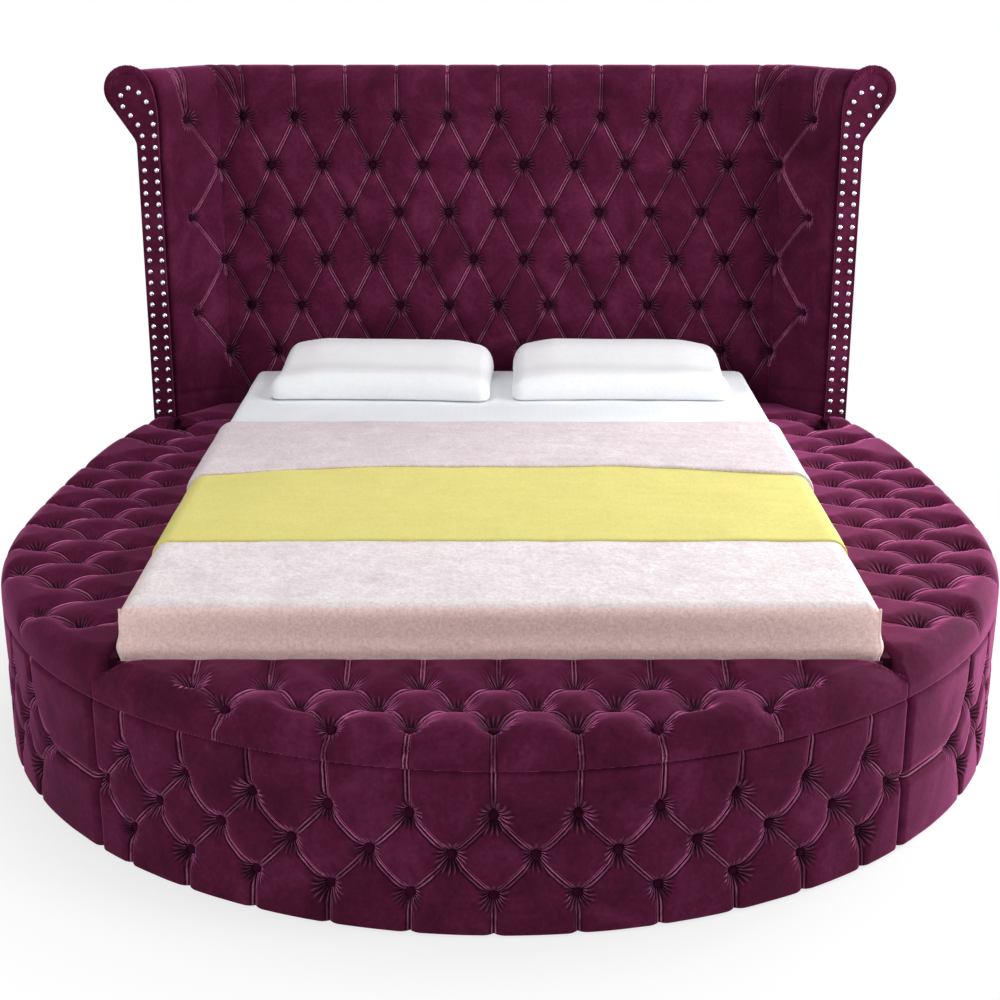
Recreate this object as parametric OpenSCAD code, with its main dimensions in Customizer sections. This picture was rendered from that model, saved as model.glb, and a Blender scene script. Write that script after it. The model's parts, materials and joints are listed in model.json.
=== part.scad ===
// Round upholstered bed with a winged headboard and three storage benches.
// The origin is on the floor under the middle of the bed. +Y runs to the headboard.

/* [Mattress] */
// Width of the mattress
mattress_w = 1524; // [1500:1:1540]
// Length of the mattress
mattress_l = 2032; // [2000:1:2060]
// Thickness of the mattress
mattress_t = 252; // [200:1:300]
// Height of the slat tops, where the mattress lies
mattress_z = 286; // [240:1:310]
// Room on each side of the mattress for the bedding
bedding_gap = 16; // [14:0.5:20]

/* [Round base] */
// Width of each side bench at the widest point, from the bed rail to the face of the padding
side_depth = 432; // [410:1:450]
// Width of each side bench where it meets a wing
end_depth = 284; // [270:1:295]
// Distance from the corners of the bed frame to the round outline
corner_room = 45; // [42:0.5:50]
// Height of the seam where the lids meet the walls
seam_z = 350; // [330:1:370]
// Thickness of the wall padding at its crests
wall_pad_t = 32; // [28:0.5:40]
// Thickness of the bent plywood walls
wall_ply_t = 15; // [12:0.5:18]
// Thickness of the bench floors
floor_t = 12; // [9:0.5:18]
// Height of the gliders under the walls
glide_h = 6; // [4:0.5:8]
// Diameter of a glider
glide_d = 14; // [10:1:15]

/* [Lids] */
// Thickness of a lid board
lid_board_t = 18; // [12:0.5:22]
// Height of the lid crests above the seam
lid_crown_h = 88; // [84:1:92]
// Height of the lid rim above the seam
lid_rim_h = 52; // [44:1:60]
// Width over which a lid rounds down to its rim
lid_round = 85; // [60:1:100]
// Depth of a lid button below its crests
lid_tuft_d = 24; // [14:1:26]
// Height of the hinge line above the seam
hinge_h = 80; // [76:1:84]
// Radius of a hinge knuckle
knuckle_r = 3.5; // [3:0.1:4]
// Radius of a hinge pin
pin_r = 1.6; // [1.2:0.1:2]
// Thickness of a hinge leaf
leaf_t = 1.5; // [1.2:0.1:2]
// Thickness of the rails that the lids hinge on
rail_t = 15; // [12:0.5:18]

/* [Tufting] */
// Number of buttons in the top row of the headboard
tuft_n = 11; // [9:2:13]
// Height between the button rows of the walls
wall_row = 84.5; // [80:0.5:88]
// Height of the lowest button row of the walls
wall_row_z = 82; // [80:1:96]
// Pitch of the buttons along the foot wall
foot_wall_pitch = 162.5; // [155:0.5:165]
// How far the foot wall's middle button stands left of the middle
foot_wall_shift = 12; // [0:1:20]
// Distance from the foot rail to the nearest button row of the foot lid
foot_row_d = 110; // [100:1:116]
// Distance between the button rows of the foot lid
foot_row = 88; // [84:1:92]
// Distance from the bed rails to the inner button column of the side lids
side_col_d = 117; // [112:1:122]
// Distance from the foot rail to the first button of that column
side_first_d = 197; // [190:1:204]
// Distance between the button columns of the side lids
side_col = 111; // [106:1:114]
// Distance between the buttons in a column of the side lids
side_pitch = 167; // [160:1:172]
// Depth of a wall button below its crests
wall_tuft_d = 20; // [12:1:22]
// Depth of a headboard button below its crests
head_tuft_d = 26; // [16:1:28]
// Radius of a covered button
button_r = 11; // [9:0.5:12]
// Share of the crest height that a crease keeps halfway between two buttons
crease_rise = 0.3; // [0.1:0.05:0.5]

/* [Headboard] */
// How far the headboard's corners stand outside the bed rails
head_side = 74.5; // [70:0.5:80]
// Gap between the mattress and the headboard padding
head_gap = 56; // [50:1:66]
// Height of the roll's centre
roll_z = 1408; // [1380:1:1440]
// Radius of the roll
roll_r = 60; // [54:0.5:60]
// Distance of the roll's centre behind the face of the padding
roll_n = 64; // [62:0.5:68]
// Height between the button rows of the headboard
head_row = 145.6; // [140:0.1:150]
// Height of the top button row of the headboard
head_row_z = 1317; // [1300:1:1330]
// Thickness of the headboard padding at its crests
head_pad_t = 38; // [36:0.5:44]
// Thickness of the headboard's front panel
head_ply_t = 12; // [9:0.5:15]
// Thickness of the headboard's posts and crossbars
head_post_t = 45; // [38:1:50]
// Thickness of the headboard's back cover
head_back_t = 5; // [3:0.5:8]
// Height of the lower edge of the headboard padding
head_pad_z = 376; // [360:1:390]

/* [Wings] */
// Angle of each wing to the headboard
wing_angle = 54.5; // [52:0.5:57]
// How far the wings reach forward of the headboard padding
wing_reach = 210; // [200:1:220]
// Thickness of the padding on a wing's inner side
wing_pad_t = 20; // [16:0.5:22]
// Thickness of a wing's panel
wing_ply_t = 18; // [15:0.5:20]
// Thickness of the padding on a wing's outer side
wing_skin_t = 13; // [10:0.5:15]
// Thickness of the scroll panel on the front of a wing
scroll_t = 18; // [15:0.5:22]
// Radius of the scroll
scroll_r = 68; // [62:0.5:70]
// Height of the scroll's centre
scroll_z = 1413; // [1400:1:1430]
// How far the scroll's inner side stands out from the wing's inner edge
scroll_out = 16; // [10:1:20]
// Height where the scroll's underside runs into the wing
scroll_taper_z = 1265; // [1240:1:1290]
// Radius of a nailhead
nail_r = 8; // [7:0.5:8.5]
// Distance between nailheads
nail_pitch = 33; // [30:0.5:36]

/* [Bed frame] */
// Number of slats
slat_n = 13; // [9:1:15]
// Width of a slat
slat_w = 70; // [60:1:90]
// Thickness of a slat
slat_t = 18; // [15:0.5:20]
// Width and height of a ledger under the slats
ledger_s = 30; // [25:1:35]
// Side of a corner post
post_s = 40; // [36:1:50]
// Width of the centre beam
beam_w = 60; // [45:1:80]
// Height of the centre beam
beam_h = 70; // [60:1:90]
// Radius of a centre leg
leg_r = 25; // [20:1:30]

/* [Bedding] */
// Thickness of the fitted sheet
sheet_t = 2; // [1.5:0.1:3]
// Thickness of the fleece blanket
blanket_t = 5; // [4:0.5:6]
// Thickness of the yellow throw
throw_t = 2.5; // [2:0.1:3]
// Radius of the bedding's top edges
bedding_round = 26; // [20:1:30]
// Distance from the head of the mattress to the blanket's fold
fold_d = 676; // [600:1:680]
// Width of the turned-down band
band_w = 416; // [390:1:480]
// Width of the throw
throw_w = 556; // [520:1:600]
// Width of a pillow
pillow_w = 640; // [600:1:680]
// Depth of a pillow
pillow_d = 390; // [350:1:420]
// Height of a pillow's taller ridge
pillow_h = 100; // [85:1:115]

/* [Hidden] */

velvet = [0.36, 0.08, 0.25];
dark_velvet = [0.27, 0.06, 0.19];
timber = [0.80, 0.66, 0.47];
plywood = [0.84, 0.72, 0.54];
steel = [0.72, 0.73, 0.75];

// Clearances
touch = 0.3;
lid_gap = 2;
running = 0.06;
big = 4000;

// The round outline
rail_x = mattress_w / 2 + bedding_gap;
bench_r = rail_x + side_depth;
widest_d = sqrt(pow(bench_r - corner_room, 2) - pow(rail_x, 2));
head_half_w = rail_x + head_side;
tuft_w = 2 * head_half_w / tuft_n;

// Places along the length
foot_depth = bench_r - widest_d;
mattress_foot_d = bedding_gap / 2;
bed_l = foot_depth + mattress_foot_d + mattress_l + head_gap + roll_n + roll_r;
foot_y = foot_depth - bed_l / 2;
wide_y = foot_y + widest_d;
mattress_y = foot_y + mattress_foot_d;
head_y = mattress_y + mattress_l + head_gap;
wing_y = head_y - wing_reach;

// Places across the width
rail_out = rail_x + rail_t;
mattress_top = mattress_z + mattress_t;
hinge_z = seam_z + hinge_h;
rail_top = hinge_z - knuckle_r - touch;
side_axis_x = rail_out + touch;
foot_axis_y = foot_y - rail_t - touch;
joint_y = foot_y - 3;
lid_front_y = foot_axis_y - touch + lid_gap;
end_y = wing_y - lid_gap;
end_in = side_depth - end_depth;
side_r = (pow(end_y - wide_y, 2) + pow(end_in, 2)) / 2 / end_in;
side_col_x = rail_x + side_col_d;
ply_d = wall_pad_t;
inner_d = wall_pad_t + wall_ply_t;

// Headboard outline
mitre = tan(wing_angle / 2);
head_t = head_pad_t + head_ply_t + head_post_t + head_back_t;
wing_t = wing_pad_t + wing_ply_t + wing_skin_t;
wing_front_x = wing_pt(wing_s(0, wing_y), 0)[0];
wing_side_x = wing_pt(wing_s(wing_t, wing_y), wing_t)[0];
scroll_x = wing_front_x + scroll_out + scroll_r;

// A point of the right wing, s along it from the corner and n behind its inner face
function wing_pt(s, n) = [
    head_half_w + s * cos(wing_angle) + n * sin(wing_angle),
    head_y - s * sin(wing_angle) + n * cos(wing_angle)
];
// How far along the wing the layer at depth n reaches before the plane y
function wing_s(n, y) = (head_y - y + n * cos(wing_angle)) / sin(wing_angle);

// A point of the round outline, s along it from the middle of the foot and d inside it
front_arc = bench_r * PI / 2;
function edge_pt(s, d) =
    abs(s) < front_arc
    ? let (a = s / bench_r * 180 / PI) [(bench_r - d) * sin(a), wide_y - (bench_r - d) * cos(a)]
    : let (a = (abs(s) - front_arc) / side_r * 180 / PI)
      [sign(s) * (bench_r - side_r + (side_r - d) * cos(a)), wide_y + (side_r - d) * sin(a)];
// The direction out of the outline at s, for buttons
function edge_angle(s) =
    abs(s) < front_arc
    ? s / bench_r * 180 / PI - 90
    : sign(s) * (abs(s) - front_arc) / side_r * 180 / PI + (s < 0 ? 180 : 0);
// Half the width of the outline at y, d inside it
function edge_x(y, d) =
    y < wide_y
    ? sqrt(max(0, pow(bench_r - d, 2) - pow(wide_y - y, 2)))
    : bench_r - side_r + sqrt(pow(side_r - d, 2) - pow(y - wide_y, 2));
joint_s = bench_r * acos((wide_y - joint_y) / bench_r) * PI / 180;
end_s = front_arc + side_r * asin((end_y - wide_y) / side_r) * PI / 180;

// Height of a tuft on a lattice of half pitches: 0 at a button, 1 at a crest
function tuft(u, v) =
    let (p = 90 * (u + v), q = 90 * (u - v))
    (1 - crease_rise) * sqrt(abs(sin(p) * sin(q))) + crease_rise * (1 - abs(cos(p) * cos(q)));
// A smooth rise from 0 to 1 over the width w
function ease(d, w) = let (t = min(1, max(0, d / w))) sqrt(t * (2 - t));
function range(n) = [for (i = [0:n - 1]) i];
function reversed(l) = [for (i = [len(l) - 1:-1:0]) l[i]];
// Triangles of a polygon, all from its corner number hub
function fan(poly, hub) =
    let (n = len(poly), q = [for (i = [0:n - 1]) poly[(i + hub) % n]])
    [for (i = [1:n - 2]) [q[0], q[i], q[i + 1]]];

// Triangles of a grid of points, split along the creases. k is the steps in a half pitch,
// a0 and b0 the place of the first column and row on the lattice
function grid_faces(nu, nv, k, a0, b0, flip) = [
    for (i = [0:nu - 2], j = [0:nv - 2])
    let (
        p = i * nv + j,
        rising = (i + a0 - j - b0) % (2 * k) == 0,
        q = rising ? [p, p + nv, p + nv + 1, p + 1] : [p + nv, p + nv + 1, p + 1, p]
    )
    for (t = [[q[0], q[1], q[2]], [q[0], q[2], q[3]]]) flip ? [t[2], t[1], t[0]] : t
];

// A pad between a tufted front, a grid of points, and a plain back of a few points a column.
// Each end is a fan from the second back point over the front and the back points of tail
module pad_solid(front, back, k, a0, b0, tail = [], extra = []) {
    nu = len(front);
    nv = len(front[0]);
    nb = len(back[0]);
    base = nu * nv;
    points = concat([for (c = front) each c], [for (c = back) each c]);
    end_poly = concat(range(nv), [for (t = tail) nv + t], [nv + 1, nv]);
    end_faces = concat(fan(end_poly, nv + len(tail)), [for (t = extra) [for (v = t) nv + v]]);
    end_index = function(i, v) v < nv ? i * nv + v : base + i * nb + v - nv;
    faces = concat(
        grid_faces(nu, nv, k, a0, b0, true),
        [for (i = [0:nu - 2], j = [0:nb - 2])
            let (p = base + i * nb + j)
            for (t = [[p, p + nb, p + nb + 1], [p, p + nb + 1, p + 1]]) t],
        [for (i = [0:nu - 2])
            let (p = i * nv, b = base + i * nb)
            for (t = [[p, p + nv, b + nb], [p, b + nb, b]]) t],
        [for (i = [0:nu - 2])
            let (p = i * nv + nv - 1, b = base + i * nb + nb - 1)
            for (t = [[p, b, b + nb], [p, b + nb, p + nv]]) t],
        [for (t = end_faces) [for (v = reversed(t)) end_index(0, v)]],
        [for (t = end_faces) [for (v = t) end_index(nu - 1, v)]]
    );
    polyhedron(points, faces, convexity = 10);
}

// The plan of the round base, d inside its outline
module round_plan(d) {
    intersection() {
        translate([0, wide_y]) circle(bench_r - d, $fn = 240);
        translate([-bench_r, wide_y - 2 * bench_r]) square([2 * bench_r, 2 * bench_r]);
    }
    intersection() {
        translate([bench_r - side_r, wide_y]) circle(side_r - d, $fn = 720);
        translate([side_r - bench_r, wide_y]) circle(side_r - d, $fn = 720);
        translate([-bench_r, wide_y]) square([2 * bench_r, bed_l]);
    }
}
module mirrored(left) {
    if (left) mirror([1, 0, 0]) children();
    else children();
}

// Timber frame under the mattress
module corner_posts() color(timber)
    for (x = [-1, 1], y = [post_y, head_rail_y - post_s - touch])
        translate([x > 0 ? rail_x - post_s - touch : touch - rail_x, y, 0])
            cube([post_s, post_s, slat_z]);
slat_z = mattress_z - slat_t;
post_y = wide_y - sqrt(pow(bench_r - inner_d - touch, 2) - pow(rail_x - touch, 2));
head_rail_y = mattress_y + mattress_l + bedding_gap;
module foot_rail() color(plywood) intersection() {
    translate([-bench_r, foot_y - rail_t, glide_h]) cube([2 * bench_r, rail_t, rail_top - glide_h]);
    linear_extrude(rail_top) round_plan(inner_d + touch);
}
module head_rail() color(timber) {
    translate([-rail_x + touch, head_rail_y, slat_z - beam_h]) cube([2 * (rail_x - touch), rail_t, beam_h]);
    for (x = [-1, 1]) translate([x * rail_x * 2 / 3 - post_s / 2, head_rail_y, slat_z - beam_h])
        cube([post_s, head_y + head_pad_t - head_rail_y, beam_h]);
}
side_rail_y = wide_y - sqrt(pow(bench_r - inner_d - touch, 2) - pow(rail_out, 2));
side_rail_l = head_rail_y + rail_t - side_rail_y;
module side_rail(left) color(plywood) mirrored(left)
    translate([rail_x, side_rail_y, glide_h]) cube([rail_t, side_rail_l, rail_top - glide_h]);
ledger_y = post_y + post_s + touch;
ledger_l = head_rail_y - post_s - 2 * touch - ledger_y;
module slat_ledgers() color(timber)
    for (left = [false, true]) mirrored(left)
        translate([rail_x - ledger_s - touch, ledger_y, slat_z - ledger_s])
            cube([ledger_s, ledger_l, ledger_s]);
module slats() color(timber) {
    step = (mattress_l - slat_w) / (slat_n - 1);
    for (i = [0:slat_n - 1])
        translate([-rail_x + touch, mattress_y + i * step, slat_z + touch])
            cube([2 * (rail_x - touch), slat_w, slat_t - touch]);
}
beam_y = foot_y + touch;
module centre_beam() color(timber)
    translate([-beam_w / 2, beam_y, slat_z - beam_h]) cube([beam_w, head_rail_y - touch - beam_y, beam_h]);
leg_h = slat_z - beam_h - touch;
leg_step = mattress_l / 4;
module centre_legs() color(steel)
    for (i = [1:3]) translate([0, mattress_y + i * leg_step, 0]) cylinder(leg_h, r = leg_r, $fn = 48);
glide_step = (end_s - 2 * glide_d) / 6;
module floor_glides() color("dimgray") {
    mid_d = wall_pad_t + wall_ply_t / 2;
    for (i = [-6:6]) translate(concat(edge_pt(i * glide_step, mid_d), 0))
        cylinder(glide_h - touch, d = glide_d, $fn = 32);
    for (x = [-1, 1] * (rail_x + rail_t / 2), y = [0.15, 0.5, 0.85])
        translate([x, side_rail_y + y * side_rail_l, 0]) cylinder(glide_h - touch, d = glide_d, $fn = 32);
}
// Bolts that join the rails to the corner posts
bolt_z = mattress_z / 2;
bolt_h = 6;
bolt_r = 9;
module frame_bolts() color(steel)
    for (x = [-1, 1], y = [post_y + post_s / 2, head_rail_y - touch - post_s / 2])
        translate([x * (rail_x - post_s - 2 * touch), y, bolt_z])
            rotate([0, -x * 90, 0]) cylinder(bolt_h, r = bolt_r, $fn = 32);

// Bench boxes
floor_z = glide_h + 2;
module foot_bench_floor() color(plywood) translate([0, 0, floor_z]) linear_extrude(floor_t) intersection() {
    round_plan(inner_d + touch);
    translate([-big / 2, foot_y - rail_t - touch - big]) square([big, big]);
}
module side_bench_floor(left) color(plywood) mirrored(left)
    translate([0, 0, floor_z]) linear_extrude(floor_t) intersection() {
        round_plan(inner_d + touch);
        translate([rail_out + touch, foot_y]) square([bench_r, bench_end_y - touch - foot_y]);
    }
module wall_ring() translate([0, 0, glide_h]) linear_extrude(seam_z - glide_h) difference() {
    round_plan(ply_d);
    round_plan(inner_d);
}
module foot_bench_wall() color(plywood) intersection() {
    wall_ring();
    translate([-big / 2, joint_y - touch - big, 0]) cube([big, big, big]);
}
module side_bench_wall(left) color(plywood) mirrored(left) intersection() {
    wall_ring();
    translate([rail_x, joint_y + touch, 0]) cube([bench_r, end_y - joint_y - touch, big]);
}
bench_end_y = end_y - wall_ply_t;
module bench_end(left) color(plywood) mirrored(left)
    translate([0, 0, glide_h]) linear_extrude(seam_z - glide_h) intersection() {
        round_plan(inner_d + touch);
        translate([rail_out + touch, bench_end_y]) square([bench_r, wall_ply_t]);
    }

// Wall padding: the depth inside the outline at the height z, u half pitches along
pad_edge_d = wall_tuft_d * 0.8;
pad_z0 = glide_h + 1;
pad_z1 = seam_z - touch;
wall_row_n = 3;
function wall_d(u, z) =
    let (
        v = min(wall_row_n - 1, max(0, (z - wall_row_z) / wall_row)),
        over = max(0, z - wall_row_z - (wall_row_n - 1) * wall_row) / wall_row,
        under = max(0, wall_row_z - z) / wall_row
    )
    wall_tuft_d * (1 - tuft(u, v)) * (1 - 0.5 * min(1, over + under));
function wall_zs(k) = concat(
    [pad_z0, wall_row_z - wall_row / 2],
    [for (j = [0:k * (wall_row_n - 1)]) wall_row_z + j * wall_row / k],
    [wall_row_z + (wall_row_n - 0.5) * wall_row, pad_z1]
);
// s0 to s1 along the outline, with a button of the odd rows at the origin of the lattice
module wall_pad(s0, s1, origin, pitch, k) {
    step = pitch / 2 / k;
    i0 = ceil((s0 + 10 - origin) / step);
    i1 = floor((s1 - 10 - origin) / step);
    ss = concat([s0], [for (i = [i0:i1]) origin + i * step], [s1]);
    zs = wall_zs(k);
    back_d = ply_d - touch - step * step / 2 / bench_r;
    front = [for (s = ss) [
        for (j = range(len(zs)))
        let (
            side_edge = s == s0 || s == s1,
            flat_edge = j == 0 || j == len(zs) - 1,
            d = side_edge || flat_edge ? pad_edge_d * 0.6 : wall_d((s - origin) / pitch * 2, zs[j])
        )
        concat(edge_pt(s, d), zs[j])
    ]];
    back = [for (s = ss) [for (z = [pad_z0, pad_z1]) concat(edge_pt(s, back_d), z)]];
    pad_solid(front, back, k, i0 - 1, -2);
}
side_origin = joint_s + 1.85 * tuft_w;
foot_wall_k = 2;
side_wall_k = 1;
module foot_wall_pad() color(velvet)
    wall_pad(-joint_s + lid_gap / 2, joint_s - lid_gap / 2, -foot_wall_shift, foot_wall_pitch, foot_wall_k);
module side_wall_pad(left) color(velvet) mirrored(left)
    wall_pad(joint_s + lid_gap / 2, end_s, side_origin, tuft_w, side_wall_k);

// A covered button: a stem cone under a domed cap, standing on z = 0
button_tip = button_r * 0.2;
module button() {
    cylinder(button_r * 0.75, r1 = button_tip, r2 = button_r, $fn = 24);
    translate([0, 0, button_r * 0.75])
        cylinder(button_r * 0.35, r1 = button_r, r2 = button_r * 0.6, $fn = 24);
}
// How far a button stands off the bottom of its tuft, so that its tip clears the slopes
function seat(depth, pitch, k) = 1.5 * touch + button_tip * depth * tuft(1 / k, 0) * 2 * k / pitch;
module wall_button(s, z, pitch, k)
    translate(concat(edge_pt(s, wall_tuft_d - seat(wall_tuft_d, pitch, k)), z))
    rotate([0, 90, edge_angle(s)]) button();
module wall_buttons(s0, s1, origin, pitch, k) color(velvet)
    for (row = [0:wall_row_n - 1]) {
        first = origin + (row % 2) * pitch / 2;
        for (i = [ceil((s0 + 2 * button_r - first) / pitch):floor((s1 - 2 * button_r - first) / pitch)])
            wall_button(first + i * pitch, wall_row_z + row * wall_row, pitch, k);
    }
module foot_wall_buttons() wall_buttons(-joint_s, joint_s, -foot_wall_shift, foot_wall_pitch, foot_wall_k);
module side_wall_buttons(left) mirrored(left) wall_buttons(joint_s, end_s, side_origin, tuft_w, side_wall_k);

// Lids. The plan of each, d inside its own outline
module foot_lid_plan(d) intersection() {
    round_plan(d + 1);
    translate([-big / 2, foot_axis_y - touch - big]) square([big, big]);
}
lid_tail_gap = 44;
module side_lid_plan(d) difference() {
    intersection() {
        round_plan(d + 1);
        translate([side_axis_x + touch, lid_front_y])
            square([bench_r, head_y - lid_tail_gap - lid_front_y]);
    }
    polygon([
        wing_pt(wing_s(-lid_gap, end_y), -lid_gap), wing_pt(-head_half_w, -lid_gap),
        [bench_r, head_y + wing_reach], [2 * bench_r, end_y]
    ]);
}
// Slants the tail of a side lid away from the wing, so that it clears the wing as it lifts
tail_slant = 28;
module tail_cut(left) {
    p = wing_pt(0, -lid_gap);
    mirrored(left) translate([p[0], p[1], hinge_z]) rotate([0, 0, -wing_angle]) rotate([-tail_slant, 0, 0])
        translate([-wing_reach, 0, -3 * hinge_h]) cube([4 * wing_reach, wing_reach, 4 * hinge_h]);
}
board_z = seam_z + touch;
board_top = board_z + lid_board_t;
board_inset = 3;
module foot_lid_board() color(plywood) {
    translate([0, 0, board_z]) linear_extrude(lid_board_t) foot_lid_plan(board_inset);
    translate([-foot_hinge_w / 2, foot_axis_y - touch - rail_t, board_z])
        cube([foot_hinge_w, rail_t, rail_top - board_z]);
}
module side_lid_board(left) color(plywood) difference() {
    mirrored(left) {
        translate([0, 0, board_z]) linear_extrude(lid_board_t) side_lid_plan(board_inset);
        translate([side_axis_x + touch, side_hinge_y, board_z])
            cube([rail_t, side_hinge_l, rail_top - board_z]);
    }
    tail_cut(left);
}

// Height of a lid's cushion over the seam, from its tuft and its distances to the edges
function lid_h(t, edge, back) =
    let (e = ease(edge, lid_round), b = ease(back, lid_round / 3))
    lid_rim_h + (lid_crown_h - lid_rim_h) * e * (0.75 + 0.25 * b)
    - lid_tuft_d * (1 - t) * ease(edge, lid_round / 2);

// A tufted block over a lattice, from the cushion's underside to the heights of hs. Its rim is
// level all round, and higher on its hinge side, which is the last of ys or the first of xs
module tufted_block(xs, ys, hs, k, a0, b0, hinge_on_x) {
    nu = len(xs);
    nv = len(ys);
    rim = function(i, j)
        (hinge_on_x ? i == 0 : j == nv - 1) ? seam_z + hinge_h
        : i == 0 || j == 0 || i == nu - 1 || j == nv - 1 ? seam_z + lid_rim_h
        : hs[i][j];
    top = [for (i = range(nu), j = range(nv)) [xs[i], ys[j], rim(i, j)]];
    low = [for (x = [xs[0], xs[nu - 1]], y = [ys[0], ys[nv - 1]]) [x, y, board_top + touch]];
    n = nu * nv;
    rim_x0 = [for (j = range(nv)) j];
    rim_x1 = [for (j = range(nv)) (nu - 1) * nv + j];
    rim_y0 = [for (i = range(nu)) i * nv];
    rim_y1 = [for (i = range(nu)) i * nv + nv - 1];
    near = hinge_on_x ? 0 : 1;
    polyhedron(concat(top, low), concat(
        grid_faces(nu, nv, k, a0, b0, true),
        fan(concat(reversed(rim_x0), [n, n + 1]), nv + near),
        fan(concat(rim_x1, [n + 3, n + 2]), nv + 1 - near),
        fan(concat(rim_y0, [n + 2, n]), nu + 1),
        fan(concat(reversed(rim_y1), [n + 1, n + 3]), nu),
        fan([n, n + 2, n + 3, n + 1], 0)
    ), convexity = 10);
}
foot_row_y = foot_y - foot_row_d;
foot_lid_n = 3;
function foot_lid_z(x, y) =
    let (
        u = x / tuft_w * 2,
        v = min(foot_lid_n - 1, max(-0.5, (foot_row_y - y) / foot_row)),
        edge = bench_r - norm([x, y - wide_y]),
        side = ease(edge_x(foot_y, 0) - abs(x), lid_round)
    )
    seam_z + lid_h(tuft(u, v), edge, foot_axis_y - y) - (1 - side) * (lid_crown_h - lid_rim_h) / 2;
module foot_lid_cushion() color(velvet) difference() {
    intersection() {
        step = tuft_w / 4;
        half = ceil(joint_s / step);
        xs = [for (i = [-half:half]) i * step];
        ys = concat(
            [for (j = [2 * foot_lid_n + 1:-1:-1]) foot_row_y - j * foot_row / 2],
            [foot_axis_y - lid_round / 4, foot_axis_y + 1]
        );
        hs = [for (x = xs) [for (y = ys) foot_lid_z(x, y)]];
        tufted_block(xs, ys, hs, 2, -half, -2 * foot_lid_n - 1, false);
        translate([0, 0, seam_z]) linear_extrude(big) foot_lid_plan(0);
    }
    translate([-foot_hinge_w / 2 - touch, foot_axis_y - 2 * touch - rail_t, seam_z])
        cube([foot_hinge_w + 2 * touch, rail_t * 2, big]);
}
side_lattice_y = foot_y + side_first_d;
function side_lid_z(x, y) =
    let (
        u = (x - side_col_x) / side_col,
        v = (y - side_lattice_y) / side_pitch * 2,
        edge = edge_x(y, 0) - x,
        front = y - lid_front_y,
        tail = (wing_pt(0, 0)[0] - x) * sin(wing_angle) + (wing_pt(0, 0)[1] - y) * cos(wing_angle)
    )
    seam_z + lid_h(tuft(u, v), min(edge, front, tail + lid_round / 2), x - side_axis_x + lid_round / 4);
module side_lid_cushion(left) color(velvet) difference() {
    mirrored(left) intersection() {
        xs = concat(
            [side_axis_x - 1],
            [for (i = [-1:6]) let (x = side_col_x + i * side_col / 2) if (x < bench_r - side_col / 12) x],
            [bench_r + 1]
        );
        step = side_pitch / 4;
        j0 = floor((lid_front_y - side_lattice_y) / step);
        j1 = ceil((head_y - side_lattice_y) / step);
        ys = [for (j = [j0:j1]) side_lattice_y + j * step];
        hs = [for (x = xs) [for (y = ys) side_lid_z(x, y)]];
        tufted_block(xs, ys, hs, 2, -2, j0, true);
        translate([0, 0, seam_z]) linear_extrude(big) side_lid_plan(0);
    }
    tail_cut(left);
    mirrored(left) translate([side_axis_x - rail_t, side_hinge_y - touch, seam_z])
        cube([2 * rail_t + 2 * touch, side_hinge_l + 2 * touch, big]);
}
module foot_lid_buttons() color(velvet)
    for (row = [0:foot_lid_n - 1]) {
        y = foot_row_y - row * foot_row;
        reach = edge_x(y, lid_round * 0.7);
        first = (row % 2) * tuft_w / 2;
        for (i = [ceil((-reach - first) / tuft_w):floor((reach - first) / tuft_w)])
            let (x = first + i * tuft_w)
            translate([x, y, foot_lid_z(x, y) + seat(lid_tuft_d, tuft_w, 2)]) button();
    }
module side_lid_buttons(left) color(velvet) mirrored(left)
    for (col = [0:2], i = [0:ceil((head_y - side_lattice_y) / side_pitch)]) {
        x = side_col_x + col * side_col;
        y = side_lattice_y + (i + (col % 2) / 2) * side_pitch;
        inside = edge_x(y, lid_round * 0.45) > x;
        w = (wing_pt(0, 0)[0] - x) * sin(wing_angle) + (wing_pt(0, 0)[1] - y) * cos(wing_angle);
        if (inside && w > lid_round * 0.6)
            translate([x, y, side_lid_z(x, y) + seat(lid_tuft_d, side_pitch, 2)]) button();
    }

// Long hinges: leaves with alternate knuckles on one pin, along X from 0 to length l
knuckle_n = 8;
leaf_w = rail_t * 0.8;
module rail_leaf(l) color(steel) {
    seg = l / knuckle_n;
    for (i = [0:2:knuckle_n - 1]) translate([i * seg, 0, 0]) rotate([0, 90, 0])
        cylinder(seg - touch, r = knuckle_r, $fn = 32);
    rotate([0, 90, 0]) cylinder(l, r = pin_r, $fn = 32);
    for (i = [0:2:knuckle_n - 1]) translate([i * seg, 0, -knuckle_r - touch])
        cube([seg - touch, leaf_w, leaf_t]);
    for (i = [0:2:knuckle_n - 1]) translate([i * seg, 0, -knuckle_r - touch])
        cube([seg - touch, leaf_t, knuckle_r]);
    translate([0, knuckle_r + touch, -knuckle_r - touch]) cube([l, leaf_w - knuckle_r - touch, leaf_t]);
}
module lid_leaf(l) color(steel) difference() {
    seg = l / knuckle_n;
    union() {
        for (i = [1:2:knuckle_n - 1]) translate([i * seg, 0, 0]) rotate([0, 90, 0])
            cylinder(seg - touch, r = knuckle_r, $fn = 32);
        for (i = [1:2:knuckle_n - 1]) translate([i * seg, -leaf_w, -knuckle_r - touch])
            cube([seg - touch, leaf_w, leaf_t]);
        for (i = [1:2:knuckle_n - 1]) translate([i * seg, -leaf_t, -knuckle_r - touch])
            cube([seg - touch, leaf_t, knuckle_r]);
        translate([0, -leaf_w, -knuckle_r - touch]) cube([l, leaf_w - knuckle_r - touch, leaf_t]);
    }
    translate([-1, 0, 0]) rotate([0, 90, 0]) cylinder(l + 2, r = pin_r + running, $fn = 32);
}
foot_hinge_w = 2 * (rail_x - 4 * rail_t);
side_hinge_y = side_rail_y + 4 * rail_t;
side_hinge_l = head_rail_y - 6 * rail_t - side_hinge_y;
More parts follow.
